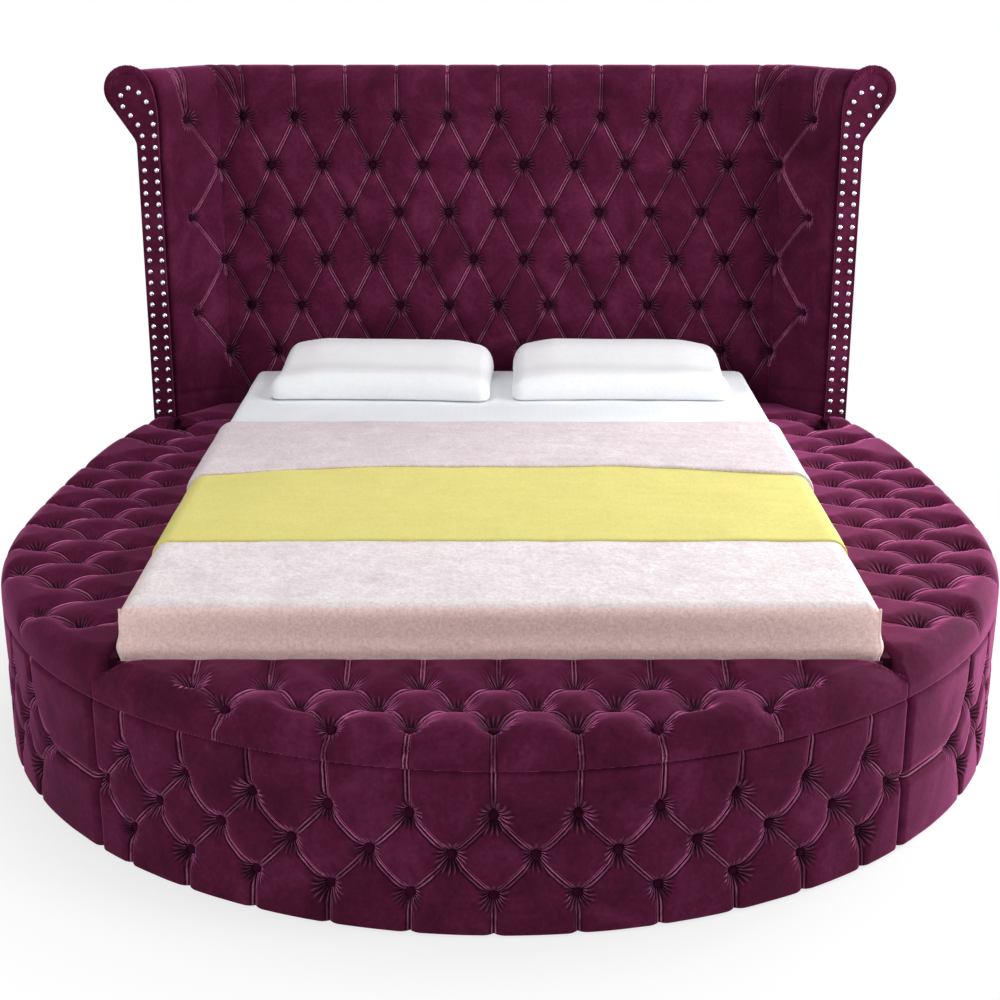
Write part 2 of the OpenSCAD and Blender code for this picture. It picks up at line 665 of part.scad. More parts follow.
module foot_hinge() translate([-foot_hinge_w / 2, foot_axis_y, hinge_z]) children();
module side_hinge(left) mirrored(left) translate([side_axis_x, side_hinge_y, hinge_z])
    rotate([0, 0, 90]) children();

// Headboard. A point of the roll at the angle a: how far behind the face, and its height
head_rows = floor((head_row_z - head_pad_z) / head_row);
roll_step = 30;
function roll_pt(a) = [roll_n + roll_r * cos(a), roll_z + roll_r * sin(a)];
function head_zs() = concat(
    [head_pad_z],
    [for (j = [-2 * head_rows:0]) head_row_z + j * head_row / 2]
);
// Depth of the face at the height z, u half pitches from the middle
function head_d(u, z) =
    let (
        v = min(0, (z - head_row_z) / head_row),
        rise = max(0, z - head_row_z) / head_row
    )
    head_tuft_d * (1 - tuft(u, v)) * (1 - 0.6 * min(1, rise));
// Points of one column of the padding's front: up the face, then over the roll to its end
function head_column(u, depth, end_a, plain) =
    let (zs = head_zs(), scale_d = depth / head_tuft_d)
    concat(
        [for (j = range(len(zs)))
            let (lean = max(0, (zs[j] - head_row_z) / (roll_z - head_row_z)) * (roll_n - roll_r))
            [lean + (plain || j == 0 ? depth * 0.5 : scale_d * head_d(u, zs[j])), zs[j]]],
        [for (a = [180:-roll_step:end_a])
            let (
                groove = plain ? 0.2 : 0.4 * (1 - tuft(u, 0)),
                r = roll_r - depth * groove * max(0, sin(a / 1.5 + 40))
            )
            [roll_n + r * cos(a), roll_z + r * sin(a)]]
    );
head_roll_end = -60;
head_under_z = roll_z + roll_r * sin(head_roll_end) - 1;
module headboard_pad() color(velvet) {
    step = tuft_w / 4;
    half = round(head_half_w / step);
    cols = [for (i = [-half:half]) i];
    sweep = function(i, n) i * step + (abs(i) == half ? sign(i) * (n * mitre - touch / 2) : 0);
    front = [for (i = cols) [
        for (p = head_column(i / 2, head_tuft_d, head_roll_end, abs(i) == half))
        [sweep(i, p[0]), head_y + p[0], p[1]]
    ]];
    back = [for (i = cols) [
        for (p = [[head_pad_t, head_pad_z], [head_pad_t, head_under_z],
            [roll_n + roll_r * cos(head_roll_end), head_under_z]])
        [sweep(i, p[0]), head_y + p[0], p[1]]
    ]];
    pad_solid(front, back, 2, -half, -2 * head_rows - 1, [2]);
}
module headboard_plate(n0, n1, z0, z1) translate([0, 0, z0]) linear_extrude(z1 - z0) {
    w0 = head_half_w + n0 * mitre - touch / 2;
    w1 = head_half_w + n1 * mitre - touch / 2;
    polygon([[-w0, head_y + n0], [w0, head_y + n0], [w1, head_y + n1], [-w1, head_y + n1]]);
}
head_frame_top = head_under_z - touch;
module headboard_panel() color(plywood)
    headboard_plate(head_pad_t + touch, head_pad_t + head_ply_t, glide_h, head_frame_top);
post_n = head_pad_t + head_ply_t;
head_post_w = 60;
head_post_x = head_half_w - 2 * head_post_w;
module headboard_posts() color(timber)
    for (x = [-1, 0, 1]) translate([x * head_post_x - head_post_w / 2, head_y + post_n + touch, 0])
        cube([head_post_w, head_post_t - touch, head_frame_top]);
module headboard_crossbars() color(timber) {
    bar_l = head_post_x - head_post_w - 2 * touch;
    for (x = [-1, 1], z = [0.12, 0.5, 0.95])
        translate([
            x * head_post_x / 2 - bar_l / 2, head_y + post_n + touch, z * head_frame_top - head_post_w / 2
        ]) cube([bar_l, head_post_t - touch, head_post_w]);
}
module headboard_back_cover() color(dark_velvet)
    headboard_plate(post_n + head_post_t + touch, head_t, glide_h, head_frame_top);
module headboard_buttons() color(velvet) {
    for (row = [0:head_rows]) {
        n = (row % 2 == 0 ? tuft_n - 1 : tuft_n - 2) / 2;
        face = head_y + head_tuft_d - seat(head_tuft_d, tuft_w, 2);
        for (i = [-n:n]) translate([i * tuft_w, face, head_row_z - row * head_row])
            rotate([90, 0, 0]) button();
    }
    for (left = [false, true], row = [0:2:head_rows]) mirrored(left) {
        p = wing_pt(wing_mid, wing_tuft_d - seat(wing_tuft_d, wing_mid * 2, 1));
        translate([p[0], p[1], head_row_z - row * head_row])
            rotate([90, 0, -wing_angle]) button();
    }
}

// Wings
wing_tuft_d = 10;
wing_mid = wing_s(0, wing_y) / 2;
wing_end_y = wing_y + scroll_t + touch;
// Depth of the wing's face, s along it and z up
function wing_d(s, z) =
    let (
        row = (head_row_z - z) / head_row,
        near = abs(row - 2 * round(row / 2)),
        off = abs(s - wing_mid) / wing_mid
    )
    wing_tuft_d * max(0, 1 - near * 1.4) * max(0, 1 - off);
wing_roll_end = -30;
module wing_pad(left) color(velvet) mirrored(left) {
    half = 3;
    zs = concat([head_pad_z], [for (row = [head_rows:-1:0]) head_row_z - row * head_row]);
    profile = concat([for (z = zs) [0, z]], [for (a = [180:-roll_step:wing_roll_end]) roll_pt(a)]);
    inner = [
        [wing_pad_t, head_pad_z], [wing_pad_t, scroll_taper_z - touch],
        [wing_pad_t + wing_ply_t + 2 * touch, scroll_taper_z - touch],
        [wing_pad_t + wing_ply_t + 2 * touch, glide_h], [wing_t, glide_h], [wing_t, scroll_taper_z]
    ];
    s_at = function(i, n)
        let (
            a = touch / 2 - n * mitre,
            b = wing_s(n, wing_end_y),
            m = (a + b) / 2 + wing_mid - (touch / 2 + wing_s(0, wing_end_y)) / 2
        )
        i < half ? a + (m - a) * i / half : m + (b - m) * (i - half) / half;
    at = function(i, n, d, z) concat(wing_pt(s_at(i, n), n + d), z);
    front = [for (i = [0:2 * half]) [
        for (j = range(len(profile)))
        let (
            p = profile[j],
            s = s_at(i, p[0]),
            dent = i == 0 || i == 2 * half || j >= len(zs) ? 0 : wing_d(s, p[1])
        )
        at(i, p[0], dent, p[1])
    ]];
    back = [for (i = [0:2 * half]) [for (p = inner) at(i, p[0], 0, p[1])]];
    pad_solid(front, back, 1, 0, 0, [5, 2], [[5, 4, 3], [5, 3, 2]]);
}
module wing_panel(left) color(plywood) mirrored(left) {
    n0 = wing_pad_t + touch;
    n1 = wing_pad_t + wing_ply_t + touch;
    translate([0, 0, glide_h]) linear_extrude(scroll_taper_z - 2 * touch - glide_h) polygon([
        wing_pt(touch - n0 * mitre, n0), wing_pt(wing_s(n0, wing_end_y), n0),
        wing_pt(wing_s(n1, wing_end_y), n1), wing_pt(touch - n1 * mitre, n1)
    ]);
}
module scroll_outline() {
    foot = [wing_side_x, scroll_taper_z];
    gap = [scroll_x - foot[0], scroll_z - foot[1]];
    a = atan2(gap[1], gap[0]) - asin(scroll_r / norm(gap));
    run = sqrt(pow(norm(gap), 2) - pow(scroll_r, 2));
    translate([scroll_x, scroll_z]) circle(scroll_r, $fn = 96);
    polygon([
        [wing_front_x, glide_h], [wing_side_x, glide_h], foot, foot + run * [cos(a), sin(a)],
        [scroll_x, scroll_z], [scroll_x - scroll_r, scroll_z], [wing_front_x, scroll_taper_z - scroll_r]
    ]);
}
module wing_front(left) color(velvet) mirrored(left)
    translate([0, wing_y + scroll_t, 0]) rotate([90, 0, 0]) linear_extrude(scroll_t) scroll_outline();
nail_inset = 12;
nail_inner = 18;
nail_h = 4;
module nail() cylinder(nail_h, r1 = nail_r, r2 = nail_r / 2, $fn = 24);
module nailheads(left) color(steel) mirrored(left) translate([0, wing_y - touch, 0]) rotate([90, 0, 0]) {
    first_z = seam_z + lid_crown_h + nail_r;
    for (z = [first_z:nail_pitch:scroll_taper_z]) {
        translate([wing_side_x - nail_inset, z]) nail();
        translate([wing_front_x + nail_inner, z]) nail();
    }
    ring = scroll_r - nail_inset;
    ring_n = round(1.45 * PI * ring / nail_pitch);
    for (i = [0:ring_n]) rotate_at(-70 + i * 261 / ring_n, ring) nail();
    for (z = [scroll_taper_z + nail_pitch:nail_pitch:scroll_z - nail_pitch])
        translate([wing_front_x + nail_inner + (z - scroll_taper_z) * 0.06, z]) nail();
}
module rotate_at(a, r) translate([scroll_x + r * cos(a), scroll_z + r * sin(a)]) children();

// Bedding. The cross-section of a cover over the mattress, t outside it, down to z0
function cover_pts(t, z0) =
    let (w = mattress_w / 2 + t, r = bedding_round + t, z1 = mattress_top + t, n = 4)
    concat(
        [[-w, z0]],
        [for (i = [0:n]) let (a = 180 - 90 * i / n) [-w + r + r * cos(a), z1 - r + r * sin(a)]],
        [for (i = [0:n]) let (a = 90 - 90 * i / n) [w - r + r * cos(a), z1 - r + r * sin(a)]],
        [[w, z0]]
    );
module along_y(y0, y1) translate([0, y1, 0]) rotate([90, 0, 0]) linear_extrude(y1 - y0) children();
module cover(y0, y1, t0, t1, z0) along_y(y0, y1) difference() {
    polygon(cover_pts(t1, z0));
    polygon(cover_pts(t0, z0 - 1));
}
module mattress() color("white")
    along_y(mattress_y, mattress_y + mattress_l) polygon(cover_pts(0, mattress_z + touch));
sheet_in = touch;
sheet_out = sheet_in + sheet_t;
module fitted_sheet() color("white") {
    cover(mattress_y, mattress_y + mattress_l, sheet_in, sheet_out, mattress_z + slat_t);
}
blanket_in = sheet_out + touch;
blanket_out = blanket_in + blanket_t;
fold_out = blanket_out + throw_t + blanket_t + 2 * touch;
skirt_z = rail_top - mattress_t / 2;
fold_y = mattress_y + mattress_l - fold_d;
hem_y = fold_y - band_w;
module blanket() color([0.86, 0.74, 0.74]) {
    cover(mattress_y - touch - blanket_t, fold_y, blanket_in, blanket_out, skirt_z);
    along_y(mattress_y - touch - blanket_t, mattress_y - touch) intersection() {
        polygon(cover_pts(blanket_out, skirt_z));
        translate([-big / 2, skirt_z]) square([big, big]);
    }
    cover(hem_y, fold_y, blanket_out - touch, fold_out, mattress_top - bedding_round);
}
module throw() color([0.93, 0.88, 0.33])
    cover(hem_y - throw_w, hem_y - touch, blanket_out + touch, blanket_out + touch + throw_t,
        mattress_top - 4 * bedding_round);

// A pillow with a low front ridge, a dip and a tall back ridge, rounded at its ends
pillow_gap = 60;
pillow_y = mattress_y + mattress_l - pillow_d;
pillow_end = 60;
function pillow_top(a, b) =
    let (
        ridge = 0.8 + 0.2 * cos(360 * b) * (b < 0.5 ? 0.55 : 1) - (b < 0.5 ? 0.1 * (1 - b) : 0),
        e = ease(a * pillow_w, pillow_end) * ease((1 - a) * pillow_w, pillow_end),
        f = ease(b * pillow_d, pillow_end) * ease((1 - b) * pillow_d, pillow_end)
    )
    pillow_h * (0.3 + 0.7 * e * f * ridge);
module pillow(left) color("white") mirrored(left) translate([pillow_gap / 2, pillow_y, pillow_z]) {
    as = [0, 0.03, 0.1, 0.3, 0.5, 0.7, 0.9, 0.97, 1];
    bs = [0, 0.04, 0.15, 0.3, 0.45, 0.6, 0.75, 0.9, 0.97, 1];
    nu = len(as);
    nv = len(bs);
    top = [for (a = as, b = bs) [a * pillow_w, b * pillow_d, pillow_top(a, b)]];
    low = [for (a = as, b = bs) [
        pillow_w * (0.5 + (a - 0.5) * 0.96), pillow_d * (0.5 + (b - 0.5) * 0.94), 0
    ]];
    n = nu * nv;
    side = function(p, q) [[p, q, n + q], [p, n + q, n + p]];
    polyhedron(concat(top, low), concat(
        grid_faces(nu, nv, 1, 0, 0, true),
        [for (t = grid_faces(nu, nv, 1, 0, 0, false)) [for (i = t) i + n]],
        [for (i = [0:nu - 2]) each side(i * nv, (i + 1) * nv)],
        [for (i = [0:nu - 2]) each side((i + 1) * nv + nv - 1, i * nv + nv - 1)],
        [for (j = [0:nv - 2]) each side(j + 1, j)],
        [for (j = [0:nv - 2]) each side((nu - 1) * nv + j, (nu - 1) * nv + j + 1)]
    ), convexity = 6);
}
pillow_z = mattress_top + sheet_out + touch;

corner_posts();
foot_rail();
head_rail();
side_rail(true);  // left_rail
side_rail(false);  // right_rail
slat_ledgers();
slats();
centre_beam();
centre_legs();
floor_glides();
frame_bolts();
foot_bench_floor();
foot_bench_wall();
foot_wall_pad();
foot_wall_buttons();
side_bench_floor(true);  // left_bench_floor
side_bench_wall(true);  // left_bench_wall
bench_end(true);  // left_bench_end
side_wall_pad(true);  // left_wall_pad
side_wall_buttons(true);  // left_wall_buttons
side_bench_floor(false);  // right_bench_floor
side_bench_wall(false);  // right_bench_wall
bench_end(false);  // right_bench_end
side_wall_pad(false);  // right_wall_pad
side_wall_buttons(false);  // right_wall_buttons
headboard_posts();
headboard_crossbars();
headboard_panel();
headboard_pad();
headboard_buttons();
headboard_back_cover();
wing_panel(true);  // left_wing_panel
wing_pad(true);  // left_wing_pad
wing_front(true);  // left_wing_front
nailheads(true);  // left_nailheads
wing_panel(false);  // right_wing_panel
wing_pad(false);  // right_wing_pad
wing_front(false);  // right_wing_front
nailheads(false);  // right_nailheads
foot_hinge() rail_leaf(foot_hinge_w);  // foot_hinge_rail_leaf
side_hinge(true) rail_leaf(side_hinge_l);  // left_hinge_rail_leaf
side_hinge(false) rail_leaf(side_hinge_l);  // right_hinge_rail_leaf
foot_lid_board();
foot_lid_cushion();
foot_lid_buttons();
foot_hinge() lid_leaf(foot_hinge_w);  // foot_hinge_lid_leaf
side_lid_board(true);  // left_lid_board
side_lid_cushion(true);  // left_lid_cushion
side_lid_buttons(true);  // left_lid_buttons
side_hinge(true) lid_leaf(side_hinge_l);  // left_hinge_lid_leaf
side_lid_board(false);  // right_lid_board
side_lid_cushion(false);  // right_lid_cushion
side_lid_buttons(false);  // right_lid_buttons
side_hinge(false) lid_leaf(side_hinge_l);  // right_hinge_lid_leaf
mattress();
fitted_sheet();
blanket();
throw();
pillow(true);  // left_pillow
pillow(false);  // right_pillow
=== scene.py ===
"""Round upholstered bed: buttoned velvet, nailhead trim, bedding, studio floor and lights.

Shapes are worked out in millimetres in the bed's own frame (x right, y to the headboard,
z up) and written in metres. Every tufted piece is a fine sheet of points that the buttons
and the creases between them pull inwards.
"""
import json
import math

import bmesh
import bpy
import numpy as np
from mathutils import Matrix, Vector, kdtree


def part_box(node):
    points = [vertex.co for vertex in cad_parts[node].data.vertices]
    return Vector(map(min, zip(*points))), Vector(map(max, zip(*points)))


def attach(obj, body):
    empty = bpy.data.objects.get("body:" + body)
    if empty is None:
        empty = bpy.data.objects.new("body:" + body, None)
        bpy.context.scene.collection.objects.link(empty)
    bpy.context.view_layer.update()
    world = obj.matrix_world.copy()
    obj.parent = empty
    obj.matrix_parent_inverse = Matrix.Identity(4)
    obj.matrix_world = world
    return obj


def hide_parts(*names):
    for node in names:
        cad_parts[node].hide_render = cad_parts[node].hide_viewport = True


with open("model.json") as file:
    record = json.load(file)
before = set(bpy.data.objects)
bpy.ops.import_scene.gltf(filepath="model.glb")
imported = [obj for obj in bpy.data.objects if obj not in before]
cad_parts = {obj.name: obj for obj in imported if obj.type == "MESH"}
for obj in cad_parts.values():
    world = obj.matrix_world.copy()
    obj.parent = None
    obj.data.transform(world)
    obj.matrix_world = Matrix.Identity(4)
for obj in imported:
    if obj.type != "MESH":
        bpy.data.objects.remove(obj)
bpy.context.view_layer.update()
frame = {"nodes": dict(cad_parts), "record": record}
MM = 0.001

# ---------------------------------------------------------------- sizes, mm
# the round outline: one arc round the foot and a flatter one along each side
BENCH_R, SIDE_R, WIDE_Y = 1210.0, 3567.2, -71.43
FRONT_ARC = BENCH_R * math.pi / 2
JOINT_S, SIDE_END_S = 925.0, 2931.0
# the benches: inner edge at the foot, head ends, hinge lines, seam under the lids, lid boards
FOOT_Y, END_Y = -938.57, 945.4
AXIS_X, FOOT_AXIS_Y, AXIS_Z = 793.3, -953.87, 430.0
HEM_Z, SEAM_Z, BOARD_TOP = 3.5, 350.0, 368.6
LID_EDGE = 70.0          # the side of a lid's cushion, with its rounding, above the seam
LID_TUCK = 3.4           # the turn of the velvet under a lid
# the walls' buttons: half a pitch along the outline, the lowest row and the rows above it
HALF_W, FOOT_HALF_W, SIDE_ORIGIN = 77.5, 81.3, 1216.3
WALL_ROW, WALL_ROW_Z = 84.5, 82.0
# the headboard: its face, half width, lower edge, button rows and the roll at its top
HEAD_Y, HEAD_HALF, HEAD_LOW = 1157.43, 852.5, 376.0
HEAD_ROW, HEAD_ROW_Z, HEAD_SHIFT = 145.6, 1317.0, 6.0
ROLL_N, ROLL_Z, ROLL_R = 64.0, 1408.0, 60.0
# the wings: their angle, thickness, button column, front and the scroll at its top
WING_Y, WING_A = 947.43, math.radians(54.5)
MITRE = math.tan(WING_A / 2)
WING_T, WING_MID, FLOOR_GAP = 51.0, 129.0, 7.0
SCROLL_X, SCROLL_Z, SCROLL_R, TAPER_Z = 1086.3, 1413.0, 68.0, 1265.0
WING_FRONT_X, WING_SIDE_X = 1002.3, 1064.9
SCROLL_NECK_Z = 1345.0
# the bedding
MATTRESS_TOP = 538.0
MATTRESS_Y0, MATTRESS_Y1 = -930.57, 1101.43
FOLD_Y, HEM_Y, THROW_Y = 425.0, 9.4, -546.6
BLANKET_HALF, BLANKET_OUT = 770.5, 7.5
RAIL_TOP = 449.0         # where the hanging cloth bulges over the bed rails
CHUNK = 12000            # points worked out at a time


# ---------------------------------------------------------------- materials
def srgb(text):
    """An sRGB hex colour as the linear values that a shader takes."""
    parts = [int(text[i:i + 2], 16) / 255 for i in (1, 3, 5)]
    return tuple(c / 12.92 if c <= 0.04045 else ((c + 0.055) / 1.055) ** 2.4
                 for c in parts) + (1.0,)


MATH, NOISE, RAMP, MIX = ("ShaderNode" + kind for kind in ("Math", "TexNoise", "ValToRGB", "Mix"))
FADE, BUMP, SPLIT = ("ShaderNode" + kind for kind in ("MapRange", "Bump", "SeparateXYZ"))
MAP, PLACES, LIGHT_PATH = ("ShaderNode" + kind for kind in ("UVMap", "TexCoord", "LightPath"))
SMOOTH, COLOUR = {"interpolation_type": "SMOOTHSTEP"}, {"data_type": "RGBA"}
TIMES, PLUS, TIMES_PLUS = ({"operation": kind} for kind in ("MULTIPLY", "ADD", "MULTIPLY_ADD"))


def add(tree, kind, inputs=(), stops=(), **settings):
    """Adds one node with its settings. inputs gives each of its sockets, by number or by name, a
    value, a socket or a node, and stops gives a colour ramp its places and hex colours."""
    made = tree.nodes.new(kind)
    for key, value in settings.items():
        setattr(made, key, value)
    for key, value in (inputs.items() if isinstance(inputs, dict) else enumerate(inputs)):
        if isinstance(value, bpy.types.Node):
            value = value.outputs[0]
        if isinstance(value, bpy.types.NodeSocket):
            tree.links.new(value, made.inputs[key])
        else:
            made.inputs[key].default_value = value
    for i, (place, colour) in enumerate(stops):
        bar = made.color_ramp.elements
        stop = bar[i] if i < 2 else bar.new(place)
        stop.position, stop.color = place, srgb(colour)
    return made


def material(name, build):
    """A new material, whose Principled shader build(tree, shader, object coordinates) sets up."""
    made = bpy.data.materials.new(name)
    made.use_nodes = True
    tree = made.node_tree
    build(tree, tree.nodes["Principled BSDF"], add(tree, PLACES).outputs["Object"])
    return made


def per_metre(size_mm):
    """The scale of a pattern whose patches, threads or tips are this far apart."""
    return 1000 / size_mm


def dress(tree, shader, colour, height=None, **plain):
    """Gives a shader its colour, a bump from a height in metres, and its plain values."""
    for key, value in plain.items():
        shader.inputs[key.replace("_", " ")].default_value = value
    tree.links.new(colour, shader.inputs["Base Color"])
    if height:
        bump = add(tree, BUMP, {"Height": height, "Strength": 1.0, "Distance": 1.0})
        tree.links.new(bump.outputs[0], shader.inputs["Normal"])


def velvet(stops, sheen, creased=False):
    """Cut-pile polyester velvet. Its pile lies in brushed patches that turn lighter and darker, its
    edges catch a pale bloom, pressed pleats run beside each crease between two buttons with a
    painted highlight on their backs, and short wrinkles fan out round each button, with painted
    highlight and painted shade."""
    def build(tree, shader, place):
        brushed = add(tree, NOISE, {
            "Vector": place, "Scale": per_metre(142.86), "Detail": 4.0, "Roughness": 0.62,
            "Distortion": 0.7})
        mottled = add(tree, NOISE, {
            "Vector": place, "Scale": per_metre(11.11), "Detail": 3.0, "Roughness": 0.7})
        both = add(tree, MIX, {0: 0.3, 2: brushed, 3: mottled})
        colour = add(tree, RAMP, (both,), stops).outputs[0]
        # the pile's tips are drawn coarser than real ones, so that they show
        pile = add(tree, NOISE, {
            "Vector": place, "Scale": per_metre(2.381), "Detail": 2.0, "Roughness": 0.6})
        height = add(tree, MATH, (pile, 0.35 * MM), **TIMES)
        if creased:
            colour, height = pleated(tree, colour, height, brushed, mottled)
        dress(tree, shader, colour, height, Roughness=0.8, Specular_IOR_Level=0.05,
              Sheen_Weight=sheen, Sheen_Roughness=0.3, Sheen_Tint=srgb("#F07CC0"))
    return build


def pleated(tree, colour, height, brushed, mottled):
    """The pressed pleats beside creases and the wrinkles round buttons, as height and as painted
    highlight and painted shade, with painted shade in each button's well. The creases map holds
    the way from and along a crease, and the buttons map the way from the nearest button, both in
    units of 100 mm."""
    lay = add(tree, SPLIT, (add(tree, MAP, uv_map="creases"),))
    across, along = lay.outputs[0], lay.outputs[1]
    wander = add(tree, MATH, (mottled, 0.02, -0.01), **TIMES_PLUS)
    away = add(tree, MATH, (add(tree, MATH, (across, wander), **PLUS),), operation="ABSOLUTE")
    width = add(tree, FADE, (along, 0.0, 0.4, 0.035, 0.072), **SMOOTH)
    spread = add(tree, MATH, (away, width), operation="DIVIDE")
    turns = add(tree, MATH, (spread, 2 * math.pi), **TIMES)
    lines = add(tree, MATH, (
        add(tree, MATH, (turns,), operation="COSINE"),
        add(tree, FADE, (spread, 0.5, 1.6, 1.0, 0.0), **SMOOTH)), **TIMES)
    pleat = add(tree, MATH, (
        lines, add(tree, FADE, (along, 0.05, 0.2, 0.3, 1.0), **SMOOTH)), **TIMES)
    height = add(tree, MATH, (pleat, -2.2 * MM, height), **TIMES_PLUS)
    way = add(tree, MAP, uv_map="buttons")
    sides = add(tree, SPLIT, (way,))
    radius = add(tree, "ShaderNodeVectorMath", (way,), operation="LENGTH").outputs["Value"]
    angle = add(tree, MATH, (sides.outputs[1], sides.outputs[0]), operation="ARCTAN2")
    # nothing is drawn half-way along the creases, where the nearest button changes
    near = add(tree, MATH, (
        add(tree, FADE, (along, 0.36, 0.5, 1.0, 0.0), **SMOOTH),
        add(tree, FADE, (across, 0.4, 0.52, 1.0, 0.0), **SMOOTH)), **TIMES)
    bend = add(tree, MATH, (brushed, 14.0), **TIMES)
    spokes = add(tree, MATH, (angle, 17.0, bend), **TIMES_PLUS)
    far = add(tree, MATH, (radius, add(tree, MATH, (brushed, 0.5, -0.25), **TIMES_PLUS)), **PLUS)
    # short wrinkles round each button: height, with painted highlight on their crests and painted
    # shade between them
    fan = add(tree, MATH, (
        add(tree, MATH, (spokes,), operation="SINE"),
        add(tree, FADE, (far, 0.16, 0.46, 1.0, 0.0), **SMOOTH)), **TIMES)
    fan = add(tree, MATH, (fan, add(tree, MATH, (
        add(tree, FADE, (radius, 0.08, 0.15), **SMOOTH), near), **TIMES)), **TIMES)
    height = add(tree, MATH, (fan, 1.8 * MM, height), **TIMES_PLUS)
    # the painted highlight on the pleats' backs shows in patches
    patchy_highlight = add(tree, FADE, (brushed, 0.4, 0.6, 0.18, 0.85), **SMOOTH)
    # painted shade in the hollow round each button
    well = add(tree, FADE, (radius, 0.08, 0.34, 0.93, 0.0), **SMOOTH)
    # pleat backs: painted highlight; lines between them: painted shade; wrinkles: painted
    # highlight;
    # lines between them: painted shade; buttons' wells: painted shade
    for pattern, low, high, share, tone in (
            (pleat, -0.2, -0.7, patchy_highlight, "#B9728F"), (pleat, 0.1, 0.8, 0.95, "#120109"),
            (fan, 0.35, 0.95, 0.42, "#A0607D"), (fan, -0.3, -0.9, 0.5, "#18030E"),
            (near, 0.0, 1.0, well, "#14020C")):
        shape = near if pattern is near else add(tree, FADE, (pattern, low, high), **SMOOTH)
        part = add(tree, MATH, (shape, share), **TIMES)
        colour = add(tree, MIX, {0: part, 6: colour, 7: srgb(tone)}, **COLOUR).outputs[2]
    return colour, height


def fleece(stops, pile_mm, lump_mm, shade, low=None):
    """Knitted polyester fleece or plain cotton: matt, a little fuzzy, with soft lumps in its colour
    and a grain of shade between its tufts of pile, which are pile_mm apart. low is the colour of
    the skirt: warmer where the pile hangs the other way, and a little darker as painted shade of
    the sides."""
    def build(tree, shader, place):
        patches = add(tree, NOISE, {
            "Vector": place, "Scale": per_metre(90.91), "Detail": 6.0, "Roughness": 0.72,
            "Distortion": 0.5})
        colour = add(tree, RAMP, (patches,), stops).outputs[0]
        if low:
            up = add(tree, SPLIT, (place,)).outputs[2]
            edge = ((MATTRESS_TOP + 9) * MM, (MATTRESS_TOP - 6) * MM)
            # below the top the skirt takes the low colour: the pile's other side, with painted
            # shade
            down = add(tree, FADE, (up, *edge, 0.0, 0.8), **SMOOTH)
            colour = add(tree, MIX, {0: down, 6: colour, 7: srgb(low)}, **COLOUR).outputs[2]
        fuzz, clumps = (add(tree, NOISE, {
            "Vector": place, "Scale": per_metre(size), "Detail": detail, "Roughness": 0.7})
            for size, detail in ((pile_mm, 4.0), (pile_mm * 10 / 3, 3.0)))
        mixed = add(tree, MIX, {0: 0.5, 2: fuzz, 3: clumps})
        grain = add(tree, FADE, (mixed, 0.38, 0.6, 0.5, 0.0), **SMOOTH)
        colour = add(tree, MIX, {0: grain, 6: colour, 7: srgb(shade)}, **COLOUR).outputs[2]
        lumps = add(tree, NOISE, {"Vector": place, "Scale": per_metre(26.32), "Detail": 3.0})
        fine = add(tree, MATH, (fuzz, 0.6 * MM), **TIMES)
        height = add(tree, MATH, (lumps, lump_mm * MM, fine), **TIMES_PLUS)
        dress(tree, shader, colour, height, Roughness=0.85, Specular_IOR_Level=0.2,
              Sheen_Weight=0.1, Sheen_Roughness=0.5)
    return build


def woven(stops, pitch_mm, depth_mm):
    """Plain-woven cotton: square threads, crossed over and under. They are drawn far coarser than
    real, because finer ones would not show, and give the flat cloth a soft unevenness."""
    def build(tree, shader, place):
        # at scale 1 the bands of a wave texture lie 2 pi / 20 m apart
        scale = 2 * math.pi / 20 * per_metre(pitch_mm)
        warp, weft = (add(tree, "ShaderNodeTexWave", {
            "Vector": place, "Scale": scale}, bands_direction=way).outputs["Fac"]
            for way in ("X", "Y"))
        soft = add(tree, NOISE, {"Vector": place, "Scale": per_metre(166.67), "Detail": 3.0})
        crossed = add(tree, MATH, (warp, weft), **TIMES)
        height = add(tree, MATH, (crossed, depth_mm * MM), **TIMES)
        dress(tree, shader, add(tree, RAMP, (soft,), stops).outputs[0], height,
              Roughness=0.8, Specular_IOR_Level=0.25)
    return build


def board(stops, grain_mm):
    """Planed softwood or sanded birch ply: long streaks of grain, whose size along each axis is
    grain_mm."""
    def build(tree, shader, place):
        turned = add(tree, "ShaderNodeMapping", {
            "Vector": place, "Scale": [per_metre(size) for size in grain_mm]})
        grain = add(tree, NOISE, {"Vector": turned, "Scale": 1.0, "Detail": 6.0,
                                  "Roughness": 0.6, "Distortion": 0.8})
        height = add(tree, MATH, (grain, 0.4 * MM), **TIMES)
        dress(tree, shader, add(tree, RAMP, (grain,), stops).outputs[0], height, Roughness=0.6)
    return build


def metal(stops, rough, metallic, wear_mm):
    """Plated or moulded hard part: even colour with faint wear that changes its gloss, in patches
    of wear_mm."""
    def build(tree, shader, place):
        wear = add(tree, NOISE, {"Vector": place, "Scale": per_metre(wear_mm), "Detail": 4.0})
        gloss = add(tree, FADE, {0: wear, 3: rough * 0.8, 4: rough * 1.3})
        tree.links.new(gloss.outputs[0], shader.inputs["Roughness"])
        dress(tree, shader, add(tree, RAMP, (wear,), stops).outputs[0], Metallic=metallic)
    return build


PLUM = [(0.30, "#380E21"), (0.50, "#4F1632"), (0.72, "#672748")]
VELVET = material("plum_velvet_tufted", velvet(PLUM, sheen=0.85, creased=True))
VELVET_PLAIN = material("plum_velvet_plain", velvet(PLUM, sheen=0.85))
